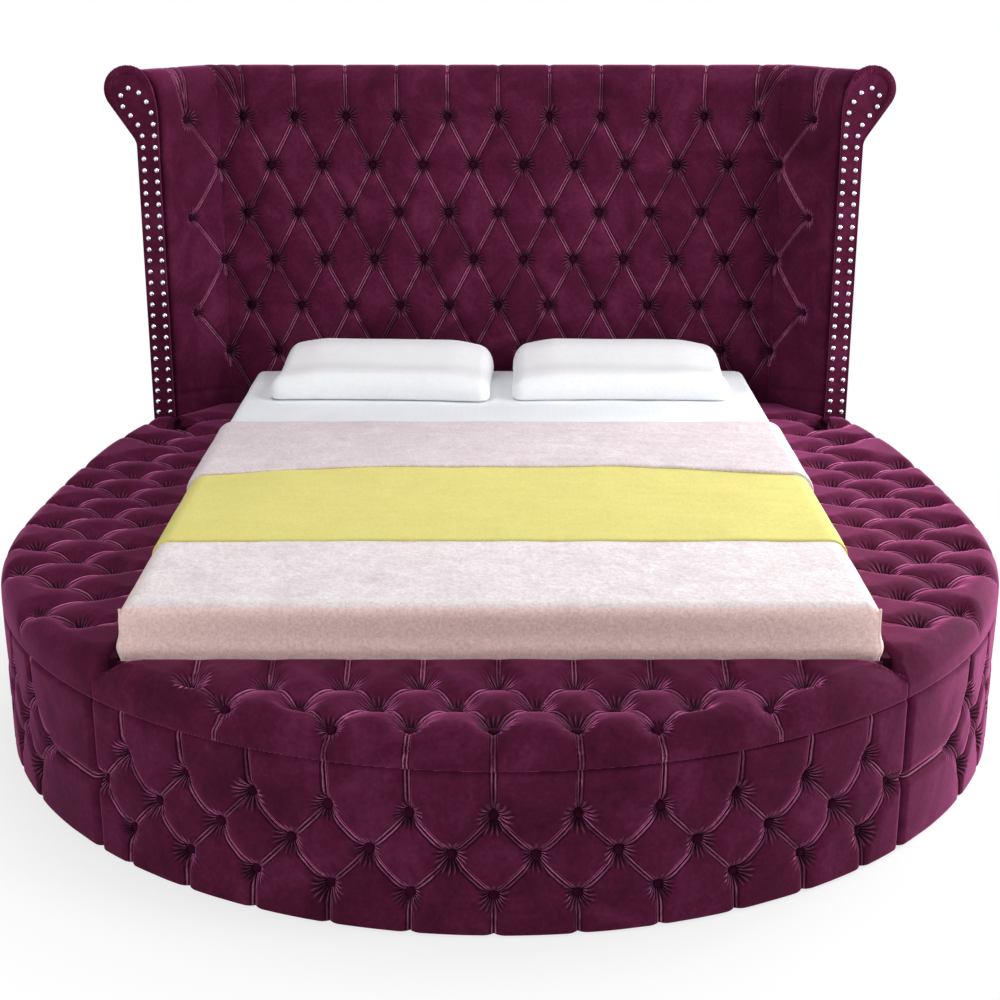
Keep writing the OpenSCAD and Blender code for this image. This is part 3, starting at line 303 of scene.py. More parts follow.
# the buttons get a darker velvet as painted shade of the deep wells they sit in, and the back's
# cloth has a shorter, duller pile
SHADED_BUTTON_VELVET = material("plum_velvet_buttons_shaded", velvet(
    [(0.3, "#22040F"), (0.7, "#3D0B27")], sheen=0.2))
BACK_CLOTH = material("plum_back_cloth", velvet([(0.3, "#2A0619"), (0.7, "#3C0D2A")], sheen=0.15))
PINK = material("pink_fleece", fleece(
    [(0.3, "#E3D9DF"), (0.5, "#F0EAEE"), (0.7, "#F8F5F8")], pile_mm=2.2, lump_mm=3.0,
    shade="#BFA3A2", low="#FFD8CF"))
# the turned band shows the fleece's back, which is a little darker and flatter
PINK_BACK = material("pink_fleece_back", fleece(
    [(0.28, "#D9CACF"), (0.5, "#E5DADF"), (0.72, "#F1E8EC")], pile_mm=2.2, lump_mm=3.0,
    shade="#B79FA4"))
YELLOW = material("yellow_fleece", fleece(
    [(0.28, "#DED47A"), (0.5, "#E3DA80"), (0.72, "#E6DE88")], pile_mm=1.6, lump_mm=0.8,
    shade="#CDBE5C"))
COTTON = material("white_cotton", woven(
    [(0.3, "#E9EDF2"), (0.7, "#F0F2F6")], pitch_mm=18.85, depth_mm=0.25))
PILLOW_KNIT = material("white_pillow_knit", fleece(
    [(0.3, "#F4F5F8"), (0.7, "#FAFAFC")], pile_mm=3.0, lump_mm=0.6, shade="#EBEEF2"))
TICKING = material("mattress_ticking", woven(
    [(0.3, "#DDD9D2"), (0.7, "#ECE9E3")], pitch_mm=18.85, depth_mm=0.4))
TIMBER = material("planed_pine", board(
    [(0.3, "#A98352"), (0.5, "#C8A673"), (0.7, "#D9BD8E")], grain_mm=(333.33, 27.778, 27.778)))
PLYWOOD = material("sanded_birch_ply", board(
    [(0.3, "#BFA077"), (0.5, "#D3B88F"), (0.7, "#E0CAA6")], grain_mm=(125.0, 125.0, 17.857)))
ZINC = material("zinc_plated_steel", metal(
    [(0.3, "#A9ACB0"), (0.7, "#C4C7CA")], rough=0.34, metallic=1.0, wear_mm=16.667))
NICKEL = material("bright_nickel_nails", metal(
    [(0.3, "#B9BBC0"), (0.7, "#E3E4E6")], rough=0.16, metallic=1.0, wear_mm=11.111))
NYLON = material("moulded_black_nylon", metal(
    [(0.3, "#202020"), (0.7, "#2E2E2E")], rough=0.5, metallic=0.0, wear_mm=12.5))


# ---------------------------------------------------------------- meshes
def linked(name, data):
    """A new object in the scene."""
    made = bpy.data.objects.new(name, data)
    bpy.context.scene.collection.objects.link(made)
    return made


def object_of(name, points, faces, mat, lay=None, extra=()):
    """A closed object, its faces outwards, from points in mm, triangles and extra polygons. lay
    holds four values for each point: a pair for the creases map and a pair for the buttons map."""
    mesh = bpy.data.meshes.new(name)
    polygons = faces.tolist() + [list(e) for e in extra]
    mesh.from_pydata((np.asarray(points) * MM).tolist(), [], polygons)
    mesh.validate()
    mesh.shade_smooth()
    if lay is not None:
        index = np.empty(len(mesh.loops), dtype=np.int32)
        mesh.loops.foreach_get("vertex_index", index)
        for layer_name, first in (("creases", 0), ("buttons", 2)):
            layer = mesh.uv_layers.new(name=layer_name)
            pair = np.asarray(lay, dtype=np.float32)[:, first:first + 2]
            layer.data.foreach_set("uv", pair[index].ravel())
    mesh.materials.append(mat)
    work = bmesh.new()
    work.from_mesh(mesh)
    bmesh.ops.recalc_face_normals(work, faces=work.faces)
    work.to_mesh(mesh)
    work.free()
    return linked(name, mesh)


def mirror_copy(source, name):
    """The same piece on the other side of the bed."""
    mesh = source.data.copy()
    mesh.name = name
    points = np.empty(len(mesh.vertices) * 3, dtype=np.float32)
    mesh.vertices.foreach_get("co", points)
    points[0::3] *= -1
    mesh.vertices.foreach_set("co", points)
    mesh.flip_normals()
    return linked(name, mesh)


def grid_triangles(number, depth=None):
    """Triangles of a grid of point numbers. Each square is split along its deeper diagonal, so that
    a crease stays one clean line."""
    a, b, c, d = (part.ravel() for part in (
        number[:-1, :-1], number[1:, :-1], number[1:, 1:], number[:-1, 1:]))
    if depth is None:
        rising = np.ones(len(a), dtype=bool)
    else:
        rising = depth[a] + depth[c] >= depth[b] + depth[d]
    return np.concatenate([
        np.stack([a, b, c], 1)[rising], np.stack([a, c, d], 1)[rising],
        np.stack([a, b, d], 1)[~rising], np.stack([b, c, d], 1)[~rising]])


def noise(x, y, size, seed):
    """Smooth waves of about size mm, from -1 to 1, the same on each run."""
    rng = np.random.default_rng(seed)
    total = np.zeros(np.broadcast(x, y).shape)
    for k in range(7):
        angle, phase = rng.uniform(0, 2 * math.pi, 2)
        length = size * rng.uniform(0.6, 1.7)
        way = x * math.cos(angle) + y * math.sin(angle)
        total = total + np.sin(2 * math.pi * way / length + phase)
    return total / 4.5


def smooth(value, low, high):
    """0 below low, 1 above high and a soft slope between them."""
    t = np.clip((value - low) / (high - low), 0, 1)
    return t * t * (3 - 2 * t)


def unit(vectors):
    """The same directions, 1 long."""
    return vectors / np.linalg.norm(vectors, axis=-1, keepdims=True)


class Tufting:
    """Buttons and the creases between them, on a flat sheet of cloth measured in mm."""

    def __init__(self, reach, depth, puff, rise, folds, well, seed):
        """A crease is depth deep and reach wide to each side, with sides as full as puff says. It
        rises by the share rise half-way between two buttons. folds is the height of the wrinkles
        round a button, and well the depth and radius of the button's own hollow."""
        self.reach, self.depth, self.puff, self.rise, self.folds = reach, depth, puff, rise, folds
        self.well, self.seed = well, seed
        self.buttons, self.creases = [], []

    def lattice(self, present, place):
        """Adds a lattice's buttons, and a crease between each two that are diagonal neighbours."""
        for u, v in sorted(present):
            self.buttons.append(place(u, v))
            for du in (-1, 1):
                if (u + du, v + 1) in present:
                    self.crease(place(u, v), place(u + du, v + 1), 1.0, 1.0)

    def crease(self, start, end, k0, k1, reach=None):
        """A crease, whose ends are k0 and k1 times as deep as a button's place."""
        self.creases.append((*start, *end, k0, k1, reach or self.reach))

    def pull(self, x, y):
        """How far the cloth is drawn in at each point, with its distance from a crease and along
        it, and its way from the nearest button."""
        shape = np.shape(x)
        points = np.stack([np.ravel(x), np.ravel(y)], 1)
        lines = np.array(self.creases)
        start, end, k0, k1, reach = lines[:, :2], lines[:, 2:4], *lines[:, 4:].T
        run = end - start
        length = np.linalg.norm(run, axis=1)
        both = (k0 > 0.99) & (k1 > 0.99)
        spots = np.array(self.buttons)
        rng = np.random.default_rng(self.seed)
        turns = rng.integers(9, 14, len(spots))
        phase = rng.uniform(0, 6.28, (len(spots), 2))
        depth = np.empty(len(points))
        lay = np.empty((len(points), 4))
        for first in range(0, len(points), CHUNK):
            p = points[first:first + CHUNK]
            rows = np.arange(len(p))
            gap = p[:, None, :] - start[None]
            t = np.clip((gap * run).sum(2) / length ** 2, 0, 1)
            away = np.linalg.norm(gap - t[:, :, None] * run, axis=2)
            share = np.where(both, 1 - self.rise * np.sin(math.pi * t) ** 0.7, k0 + (k1 - k0) * t)
            sunk = (1 - np.minimum(1, away / reach)) ** self.puff * share
            level = np.prod(1 - np.minimum(sunk, 1), axis=1)
            near = np.argmin(away, axis=1)
            t, away = t[rows, near], away[rows, near]
            along = np.where(both[near], np.minimum(t, 1 - t), t) * length[near]
            # a crease that runs out keeps no pleats over its last 45 mm
            free = (k1[near] < 0.2) * (1 - smooth((1 - t) * length[near], 0, 45))
            offset = p[:, None, :] - spots[None]
            radius = np.linalg.norm(offset, axis=2)
            spot = np.argmin(radius, axis=1)
            radius, offset = radius[rows, spot], offset[rows, spot]
            # wrinkles fan out from the button's rim and fade over the next 17 mm
            angle = np.arctan2(offset[:, 1], offset[:, 0])
            ripple = np.sin(turns[spot] * angle + phase[spot, 0]
                            + 0.9 * np.sin(2 * angle + phase[spot, 1]))
            strength = smooth(radius, 9, 16) * np.exp(-np.maximum(0, radius - 16) / 17) * self.folds
            strength = strength * (0.55 + 0.45 * np.sin(3 * angle + phase[spot, 1]))
            pinch = self.well[0] * np.exp(-(radius / self.well[1]) ** 2)
            depth[first:first + CHUNK] = (1 - level) * self.depth + strength * ripple + pinch
            lay[first:first + CHUNK] = np.stack(
                [away + 60 * free, along, offset[:, 0], offset[:, 1]], 1) / 100
        return depth.reshape(shape), lay.reshape(shape + (4,))


def closed_pad(name, front, depth, lay, back):
    """A pad from a grid of front points and a few back points for each of its columns."""
    nu, nv = front.shape[:2]
    nb = back.shape[1]
    number = np.arange(nu * nv).reshape(nu, nv)
    behind = nu * nv + np.arange(nu * nb).reshape(nu, nb)
    tris = [grid_triangles(number, depth.ravel()), grid_triangles(behind)[:, ::-1]]
    tris.append(grid_triangles(np.stack([number[:, 0], behind[:, 0]], 1))[:, ::-1])
    tris.append(grid_triangles(np.stack([number[:, -1], behind[:, -1]], 1)))
    ends = [np.concatenate([number[0], behind[0][::-1]]),
            np.concatenate([number[-1][::-1], behind[-1]])]
    points = np.concatenate([front.reshape(-1, 3), back.reshape(-1, 3)])
    pairs = np.concatenate([lay.reshape(-1, 4), np.full((nu * nb, 4), 1.0)])
    return object_of(name, points, np.concatenate(tris), VELVET, pairs, ends)


def ends_rounded(x, low, high, radius):
    """How far a padded edge turns in, near the two ends of a run."""
    gap = np.minimum(x - low, high - x)
    return radius - np.sqrt(np.maximum(0, radius ** 2 - np.maximum(0, radius - gap) ** 2))


def spaced(low, high, step):
    """Places from low to high, a step apart, and closer at both ends."""
    fine = np.array([0, 1.0, 2.5, 5.0, 8.5])
    first, last = math.ceil((low + 11) / step), math.floor((high - 11) / step)
    return np.concatenate([low + fine, np.arange(first, last + 1) * step, high - fine[::-1]])


def grid(xs, ys):
    """x and y of each point of a grid, as two arrays that run along x first."""
    return np.meshgrid(xs, ys, indexing="ij")


# ---------------------------------------------------------------- walls
def edge_point(s, d):
    """A point of the round outline: s along it from the middle of the foot, d inside it."""
    far = np.abs(s) >= FRONT_ARC          # on the flatter arc of a side
    t = (np.abs(s) - FRONT_ARC) / SIDE_R
    x = np.where(far, np.sign(s) * (BENCH_R - SIDE_R + (SIDE_R - d) * np.cos(t)),
                 (BENCH_R - d) * np.sin(s / BENCH_R))
    y = np.where(far, WIDE_Y + (SIDE_R - d) * np.sin(t),
                 WIDE_Y - (BENCH_R - d) * np.cos(s / BENCH_R))
    return x, y


def wall(name, s0, s1, origin, half, present, to_joint):
    """A tufted wall from s0 to s1 along the outline, and the places of its buttons. They lie in a
    lattice that starts at origin, half a pitch apart. present names them by column and row, and
    to_joint those that a crease joins to the wall's end."""
    tufts = Tufting(reach=44, depth=21, puff=2.6, rise=0.5, folds=1.4, well=(8, 17),
                    seed=len(name))

    def place(u, v):
        return origin + u * half, WALL_ROW_Z + v * WALL_ROW
    tufts.lattice(present, place)
    # straight creases run up to the seam, down to the floor and out to the joints
    for u, v in present:
        s, z = place(u, v)
        if v == 2:
            tufts.crease((s, z), (s, SEAM_Z), 0.9, 0.45, 26)
        if v == 0:
            tufts.crease((s, z), (s, 0), 0.9, 0.45, 26)
        if (u, v) in to_joint:
            tufts.crease((s, z), (s0 if u < 0 else s1, z), 0.9, 0.5, 30)
    ss = origin + spaced(s0 - origin, s1 - origin, half / 20)
    zs = WALL_ROW_Z + spaced(HEM_Z - WALL_ROW_Z, SEAM_Z - 0.6 - WALL_ROW_Z, WALL_ROW / 20)
    s, z = grid(ss, zs)
    depth, lay = tufts.pull(s, z)
    depth = depth + 0.9 * noise(s, z, 120, 5)
    # the padding turns in by 6 mm at the floor, 16 mm at the seam and 20 mm at the joints
    round_in = ends_rounded(z, zs[0], zs[-1] + 40, 6) + ends_rounded(z, zs[0] - 40, zs[-1], 16) \
        + ends_rounded(s, ss[0], ss[-1], 20)
    depth = 1.0 + np.minimum(29.5, np.maximum(0, depth) * (1 - round_in / 30) + round_in)
    x, y = edge_point(s, depth)
    back_s, back_z = grid(ss, [zs[0], zs[-1]])
    bx, by = edge_point(back_s, 31.6)
    made = closed_pad(name, np.stack([x, y, z], 2), depth, lay, np.stack([bx, by, back_z], 2))
    spots = []
    for u, v in present:
        s, z = place(u, v)
        seat, out = (np.array([*edge_point(np.array(s), np.array(d)), z]) for d in (27.0, 0.0))
        spots.append((seat, unit(out - seat)))
    return made, spots


def flipped(spots):
    """The same places and directions on the other side of the bed."""
    turn = np.array([-1, 1, 1])
    return [(p * turn, n * turn) for p, n in spots]


def lattice_of(rows, columns):
    """The numbers of a diamond lattice's buttons, column first."""
    return [(u, v) for v in rows for u in columns if (u + v) % 2 == 0]


foot_present = {(u, v) for u, v in lattice_of(range(3), range(-11, 12)) if v == 1 or abs(u) < 11}
foot_wall, foot_wall_spots = wall(
    "foot_wall_velvet", -JOINT_S, JOINT_S, origin=-12.0, half=FOOT_HALF_W, present=foot_present,
    to_joint={(-11, 1), (11, 1)})
right_wall, right_wall_spots = wall(
    "right_wall_velvet", JOINT_S + 2, SIDE_END_S, origin=SIDE_ORIGIN, half=HALF_W,
    present=set(lattice_of(range(3), range(-1, 22))), to_joint={(-1, 1)})
left_wall = mirror_copy(right_wall, "left_wall_velvet")


# ---------------------------------------------------------------- buttons and nails
def repeated(name, spots, mat, radius, height, segments, rings):
    """Domes at the given places, each turned to its direction, as one mesh of geometry nodes."""
    mesh = bpy.data.meshes.new(name)
    mesh.from_pydata([tuple(p * MM) for p, n in spots], [], [])
    facing = mesh.attributes.new("facing", "FLOAT_VECTOR", "POINT")
    facing.data.foreach_set("vector", np.array([n for p, n in spots], dtype=np.float32).ravel())
    carrier = linked(name, mesh)
    tree = bpy.data.node_groups.new(name, "GeometryNodeTree")
    sizes = {}
    for label, kind, value in (("Geometry", "Geometry", None), ("Radius", "Float", radius * MM),
                               ("Height", "Float", height * MM)):
        socket = tree.interface.new_socket(
            label, in_out="INPUT", socket_type="NodeSocket" + kind)
        if value:
            sizes[socket.identifier] = value
    tree.interface.new_socket("Geometry", in_out="OUTPUT", socket_type="NodeSocketGeometry")
    given = add(tree, "NodeGroupInput")
    dome = add(tree, "GeometryNodeMeshUVSphere", {
        "Segments": segments, "Rings": rings, "Radius": 1.0})
    size = add(tree, "ShaderNodeCombineXYZ", {
        "X": given.outputs["Radius"], "Y": given.outputs["Radius"], "Z": given.outputs["Height"]})
    shaped = add(tree, "GeometryNodeTransform", {"Geometry": dome, "Scale": size})
    soft = add(tree, "GeometryNodeSetShadeSmooth", {"Geometry": shaped})
    where = add(tree, "GeometryNodeInputNamedAttribute", {"Name": "facing"},
                data_type="FLOAT_VECTOR")
    turn = add(tree, "FunctionNodeAlignRotationToVector", {"Vector": where}, axis="Z")
    placed = add(tree, "GeometryNodeInstanceOnPoints", {
        "Points": given.outputs["Geometry"], "Instance": soft, "Rotation": turn})
    solid = add(tree, "GeometryNodeRealizeInstances", {"Geometry": placed})
    dyed = add(tree, "GeometryNodeSetMaterial", {"Geometry": solid, "Material": mat})
    add(tree, "NodeGroupOutput", {"Geometry": dyed})
    modifier = carrier.modifiers.new("Domes", "NODES")
    modifier.node_group = tree
    for identifier, value in sizes.items():
        modifier[identifier] = value
    graph = bpy.context.evaluated_depsgraph_get()
    plain = bpy.data.meshes.new_from_object(carrier.evaluated_get(graph))
    bpy.data.objects.remove(carrier)
    bpy.data.meshes.remove(mesh)
    plain.name = name
    if "facing" in plain.attributes:
        plain.attributes.remove(plain.attributes["facing"])
    return linked(name, plain)


def buttons(name, spots):
    """Covered buttons, 23 mm across, in a darker velvet as painted shade of their wells."""
    return repeated(name, spots, SHADED_BUTTON_VELVET, radius=11.5, height=6.0, segments=16, rings=9)


# ---------------------------------------------------------------- headboard and wings
def head_profile():
    """The run of the headboard's face and roll: its place t, depth n, height z and direction."""
    rows = HEAD_ROW_Z + spaced(HEAD_LOW - HEAD_ROW_Z, ROLL_Z - HEAD_ROW_Z + 8, HEAD_ROW / 22)[:-5]
    n = smooth(rows, HEAD_ROW_Z, ROLL_Z) * (ROLL_N - ROLL_R)
    face = [(t, k, t, -1.0, 0.0) for t, k in zip(rows, n) if t < ROLL_Z - 1]
    roll = [(ROLL_Z + ROLL_R * (math.pi - a), ROLL_N + ROLL_R * math.cos(a),
             ROLL_Z + ROLL_R * math.sin(a), math.cos(a), math.sin(a))
            for a in np.radians(np.arange(180, -61, -4))]
    return np.array(face + roll)


def head_place(u, v):
    """Where a button of the headboard lies, along it and up it."""
    return u * HALF_W - HEAD_SHIFT * (1 - abs(u) / 11), HEAD_ROW_Z + v * HEAD_ROW


def head_tufting():
    """The tufting of the headboard's face and roll, and of both wings, laid out beside it."""
    tufts = Tufting(reach=46, depth=20, puff=2.8, rise=0.5, folds=1.6, well=(9, 18), seed=11)
    present = set(lattice_of(range(-6, 1), range(-11, 12)))
    tufts.lattice(present, head_place)
    end_t = ROLL_Z + ROLL_R * math.radians(240)
    top_t = ROLL_Z + 40
    for u, v in sorted(present):
        x, t = head_place(u, v)
        if v == 0:
            tufts.crease((x, t), (x, top_t), 0.9, 0.25, 24)
            tufts.crease((x, top_t), (x, end_t), 0.25, 0.21, 20)
        if v == -6:
            tufts.crease((x, t), (x, HEAD_LOW - 20), 0.9, 0.7, 30)
    for side in (-1, 1):
        middle = side * (HEAD_HALF + WING_MID)
        x, t = head_place(side * 10, 0)
        for reach_x in (65, 120):
            tufts.crease((x, t), (x + side * reach_x, top_t + 90), 0.6, 0.05, 22)
        for v in (0, -2, -4):
            t = HEAD_ROW_Z + v * HEAD_ROW
            tufts.buttons.append((middle, t))
            for dv in (-1, 1):
                if (side * 11, v + dv) in present:
                    corner = (side * HEAD_HALF, t + dv * HEAD_ROW)
                    tufts.crease((middle, t), corner, 1.0, 1.0, 54)
        for dx in (8, 52, 78):
            tufts.crease((middle, HEAD_ROW_Z), (middle + side * dx, top_t + 110), 0.8, 0.05, 26)
        for v in (-1, -3, -5):
            t = HEAD_ROW_Z + v * HEAD_ROW
            tufts.crease((side * HEAD_HALF, t), (side * HEAD_HALF, t - 90), 0.7, 0.05, 26)
    return tufts, present


HEAD_TUFTS, head_present = head_tufting()


def head_pull(x, t):
    """How far the headboard's cloth is drawn in at x along it and t up it, less on the thin wings
    and over the roll."""
    depth, lay = HEAD_TUFTS.pull(x, t)
    depth = np.maximum(0, depth + 0.8 * noise(np.abs(x), t, 150, 8))
    depth = depth * (1 - 0.4 * smooth(np.abs(x), 790, 900))
    return depth * (1 - 0.55 * smooth(t, ROLL_Z, ROLL_Z + 250)), lay


def mitred(x, n):
    """x at the depth n, spread so that the headboard and the wings meet on the corner's mitre."""
    return x + np.sign(x) * n * MITRE * (np.abs(x) / HEAD_HALF) ** 3


def headboard():
    """The tufted face of the headboard with its roll, and its buttons."""
    profile = head_profile()
    xs = np.arange(-242, 243) * HALF_W / 22
    x, t = grid(xs, profile[:, 0])
    depth, lay = head_pull(x, t)
    depth = np.minimum(34, depth) * (0.35 + 0.65 * smooth(t, HEAD_LOW - 60, HEAD_LOW + 30))
    n = profile[:, 1][None] - profile[:, 3][None] * depth
    z = profile[:, 2][None] - profile[:, 4][None] * depth
    front = np.stack([mitred(x, n), HEAD_Y + n, z], 2)
    under = ROLL_Z + ROLL_R * math.sin(math.radians(-60)) - 0.6
    back_x, back_n = grid(xs, [38.0, 38.0, ROLL_N + ROLL_R / 2])
    _, back_z = grid(xs, [HEAD_LOW, under, under])
    back = np.stack([mitred(back_x, back_n), HEAD_Y + back_n, back_z], 2)
    made = closed_pad("headboard_velvet", front, depth, lay, back)
    spots = []
    for u, v in sorted(head_present):
        if abs(u) < 11:
            x, z = head_place(u, v)
            spots.append((np.array([x, HEAD_Y + 24.0, z]), np.array([0, -1.0, 0])))
    return made, spots


def wing_point(s, n):
    """A point of the right wing in plan, s from the headboard's corner, n behind its face."""
    return (HEAD_HALF + s * math.cos(WING_A) + n * math.sin(WING_A),
            HEAD_Y - s * math.sin(WING_A) + n * math.cos(WING_A))


def wing_s(n, y):
    """How far along the wing the height y of the plan lies, n behind the wing's face."""
    return (HEAD_Y - y + n * math.cos(WING_A)) / math.sin(WING_A)


def wing():
    """The right wing's padding: its tufted inner face, the roll and the plain outer side."""
    profile = head_profile()
    turned = profile[profile[:, 0] <= ROLL_Z + ROLL_R * math.radians(211)]
    end_t, end_n, end_z = turned[-1, :3]
    slope_n, slope_z = WING_T - end_n, TAPER_Z - end_z
    run = math.hypot(slope_n, slope_z)
    taper = [(end_t + k * run, end_n + k * slope_n, end_z + k * slope_z, -slope_z / run,
              slope_n / run) for k in (0.15, 0.35, 0.6, 0.85)]
    down = [(end_t + run + TAPER_Z - z, WING_T - 0.5, z, 1.0, 0.0)
            for z in (TAPER_Z - 8, 1200, 1100, 950, 800, 650, 500, 350, 200, 100, 40, 16, 10,
                      FLOOR_GAP)]
    profile = np.concatenate([turned, taper, down])
    end_y = WING_Y + 18.6
    share = np.concatenate([
        [0, 0.012, 0.03], np.arange(1, 60) / 60.5, [0.985, 0.993, 0.998, 1.0]])[:, None]
    n0 = profile[:, 1][None]
    low, high = 0.15 - n0 * MITRE, wing_s(n0, end_y)
    s = low + (high - low) * share
    t = profile[:, 0][None] + 0 * s
    depth, lay = head_pull(HEAD_HALF + s - low, t)
    inner = 1 - smooth(t, ROLL_Z + 60, ROLL_Z + 190)
    rim = ends_rounded(high - s, 0, 4000, 19)
    depth = np.minimum(19.2, np.minimum(18.5, depth * inner) * (1 - rim / 20) + rim)
    # the cloth tucks in where the wing meets the lid
    depth = depth + 5.0 * np.exp(-((t - 470 - 0.12 * s) / 9) ** 2) * inner
    n = n0 - profile[:, 3][None] * depth
    z = profile[:, 2][None] - profile[:, 4][None] * depth
    s = s - (n - n0) * MITRE * np.exp(-(s - low) / 60)
    front = np.stack([*wing_point(s, n), z], 2)
    back_n = np.array([20.0, 20.0, 38.6, 38.6])[None]
    back_z = np.array([HEAD_LOW, TAPER_Z - 0.5, TAPER_Z - 0.5, FLOOR_GAP])[None]
    low, high = 0.15 - back_n * MITRE, wing_s(back_n, end_y)
    back_s = low + (high - low) * share
    back = np.stack([*wing_point(back_s, back_n), back_z + 0 * back_s], 2)
    made = closed_pad("right_wing_velvet", front, depth, lay, back)
    facing = np.array([-math.sin(WING_A), -math.cos(WING_A), 0.0])
    inward = unit(facing + np.array([0, -1.0, 0]))
    spots = []
    for v in range(-5, 1):
        z = HEAD_ROW_Z + v * HEAD_ROW
        if v % 2 == 0:
            spots.append((np.array([*wing_point(WING_MID, 14.0), z]), facing))
        else:
            spots.append((np.array([*wing_point(0.0, 0.0), z]) - 19.0 * inward, inward))
    return made, spots


head_pad, head_spots = headboard()
right_wing, wing_spots = wing()
left_wing = mirror_copy(right_wing, "left_wing_velvet")


# ---------------------------------------------------------------- scrolled fronts and nails
def bezier(a, b, c, count):
    """Points of a curve from a to c that is drawn towards b."""
    t = np.linspace(0, 1, count)[:, None]
    return (1 - t) ** 2 * np.array(a) + 2 * t * (1 - t) * np.array(b) + t * t * np.array(c)


def scroll_loop():
    """The outline of the right wing's front, from its outer foot up, over the scroll and down, and
    the numbers of its first and last point that the gathered roll follows."""
    foot = np.array([WING_SIDE_X, TAPER_Z])
    centre = np.array([SCROLL_X - 4, SCROLL_Z])
    gap = centre - foot
    a = math.atan2(gap[1], gap[0]) - math.asin(SCROLL_R / np.linalg.norm(gap))
    run = math.sqrt(np.linalg.norm(gap) ** 2 - SCROLL_R ** 2)
    meet = foot + run * np.array([math.cos(a), math.sin(a)])
    first = math.atan2(meet[1] - centre[1], meet[0] - centre[0])
    arc = np.array([centre + SCROLL_R * np.array([math.cos(b), math.sin(b)])
                    for b in np.linspace(first, math.radians(97), 44)])
    side = np.array([(WING_SIDE_X, z) for z in np.linspace(FLOOR_GAP, TAPER_Z - 12, 60)])
    turn = bezier((WING_SIDE_X, TAPER_Z - 12), foot, foot + (meet - foot) * 0.15, 6)[1:]
    rise = np.array([foot + (meet - foot) * t for t in np.linspace(0.15, 1, 12)[1:-1]])
    neck_end = (WING_FRONT_X - 2, SCROLL_NECK_Z)
    neck = bezier(arc[-1], (WING_FRONT_X + 6, SCROLL_Z + 62), neck_end, 26)[1:]
    inner = np.array([(WING_FRONT_X - 2 + 2 * smooth(-z, -SCROLL_NECK_Z, -1150), z)
                      for z in np.linspace(SCROLL_NECK_Z, FLOOR_GAP, 66)[1:]])
    loop = np.concatenate([side, turn, rise, arc, neck, inner])
    return loop, len(side), len(loop) - len(inner)


def heading(path, closed):
    """The direction of a path at each of its points, not yet 1 long."""
    following, before = np.roll(path, -1, 0), np.roll(path, 1, 0)
    if not closed:
        following[-1], before[0] = path[-1], path[0]
    return following - before


def tube(name, path, radius, mat, sides=10, closed=False):
    """A round cord along points in mm. radius is one number or one for each point."""
    path = np.asarray(path, dtype=float)
    radius = np.broadcast_to(radius, len(path))
    tangent = unit(heading(path, closed))
    side = unit(np.cross(tangent, np.array([0.02, 1.0, 0.01])))[:, None]
    other = np.cross(tangent, side[:, 0])[:, None]
    angles = np.linspace(0, 2 * math.pi, sides, endpoint=False)[None, :, None]
    rings = path[:, None] + radius[:, None, None] * (np.cos(angles) * side + np.sin(angles) * other)
    number = np.arange(len(path) * sides).reshape(len(path), sides)
    ends = [] if closed else [number[0], number[-1][::-1]]
    number = np.concatenate([number, number[:, :1]], 1)
    if closed:
        number = np.concatenate([number, number[:1]], 0)
    return object_of(name, rings.reshape(-1, 3), grid_triangles(number), mat, extra=ends)


def scroll_front():
    """The front of the right wing: a flat covered board inside piping, with a gathered roll of
    velvet round its scroll."""
    loop, start, stop = scroll_loop()
    way = heading(loop, True)
    normal = unit(np.stack([way[:, 1], -way[:, 0]], 1))

    def upright(path, depth):
        return np.stack([path[:, 0], np.full(len(path), WING_Y + depth), path[:, 1]], 1)
    insets = ((0.4, 18.0), (0.0, 15.0), (0.0, 7.0), (1.2, 4.2), (3.5, 2.6), (7.0, 2.4))
    rings = [upright(loop - normal * inset, depth) for inset, depth in insets]
    number = np.arange(len(loop) * len(rings)).reshape(len(rings), len(loop))
    flat = object_of(
        "right_wing_scroll", np.concatenate(rings),
        grid_triangles(np.concatenate([number, number[:, :1]], 1)), VELVET_PLAIN,
        extra=[number[0], number[-1][::-1]])
    cord = tube("right_wing_piping", upright(loop - normal * 2.4, 3.2), 2.6, VELVET_PLAIN,
                closed=True)
    part = slice(start + 3, stop - 4)
    swell = np.sin(math.pi * np.clip(np.linspace(0, 1, stop - start - 7) * 1.02, 0, 1))
    size = 13.5 * np.sqrt(np.clip(swell * 2.2, 0.02, 1))
    path = loop[part] - normal[part] * (size[:, None] - 1.0)
    fine = np.linspace(0, len(path) - 1, 240)
    path = np.stack([np.interp(fine, np.arange(len(path)), path[:, k]) for k in (0, 1)], 1)
    size = np.interp(fine, np.arange(len(size)), size)
    count = np.arange(240)
    gathers = 1 + 0.05 * np.sin(count * 1.05) + 0.03 * np.sin(count * 0.43 + 1)
    roll = tube("right_wing_roll", upright(path, 10.5), size * gathers, VELVET_PLAIN, sides=20)
    return [flat, cord, roll]


right_scroll = scroll_front()
left_scroll = [mirror_copy(part, part.name.replace("right", "left")) for part in right_scroll]


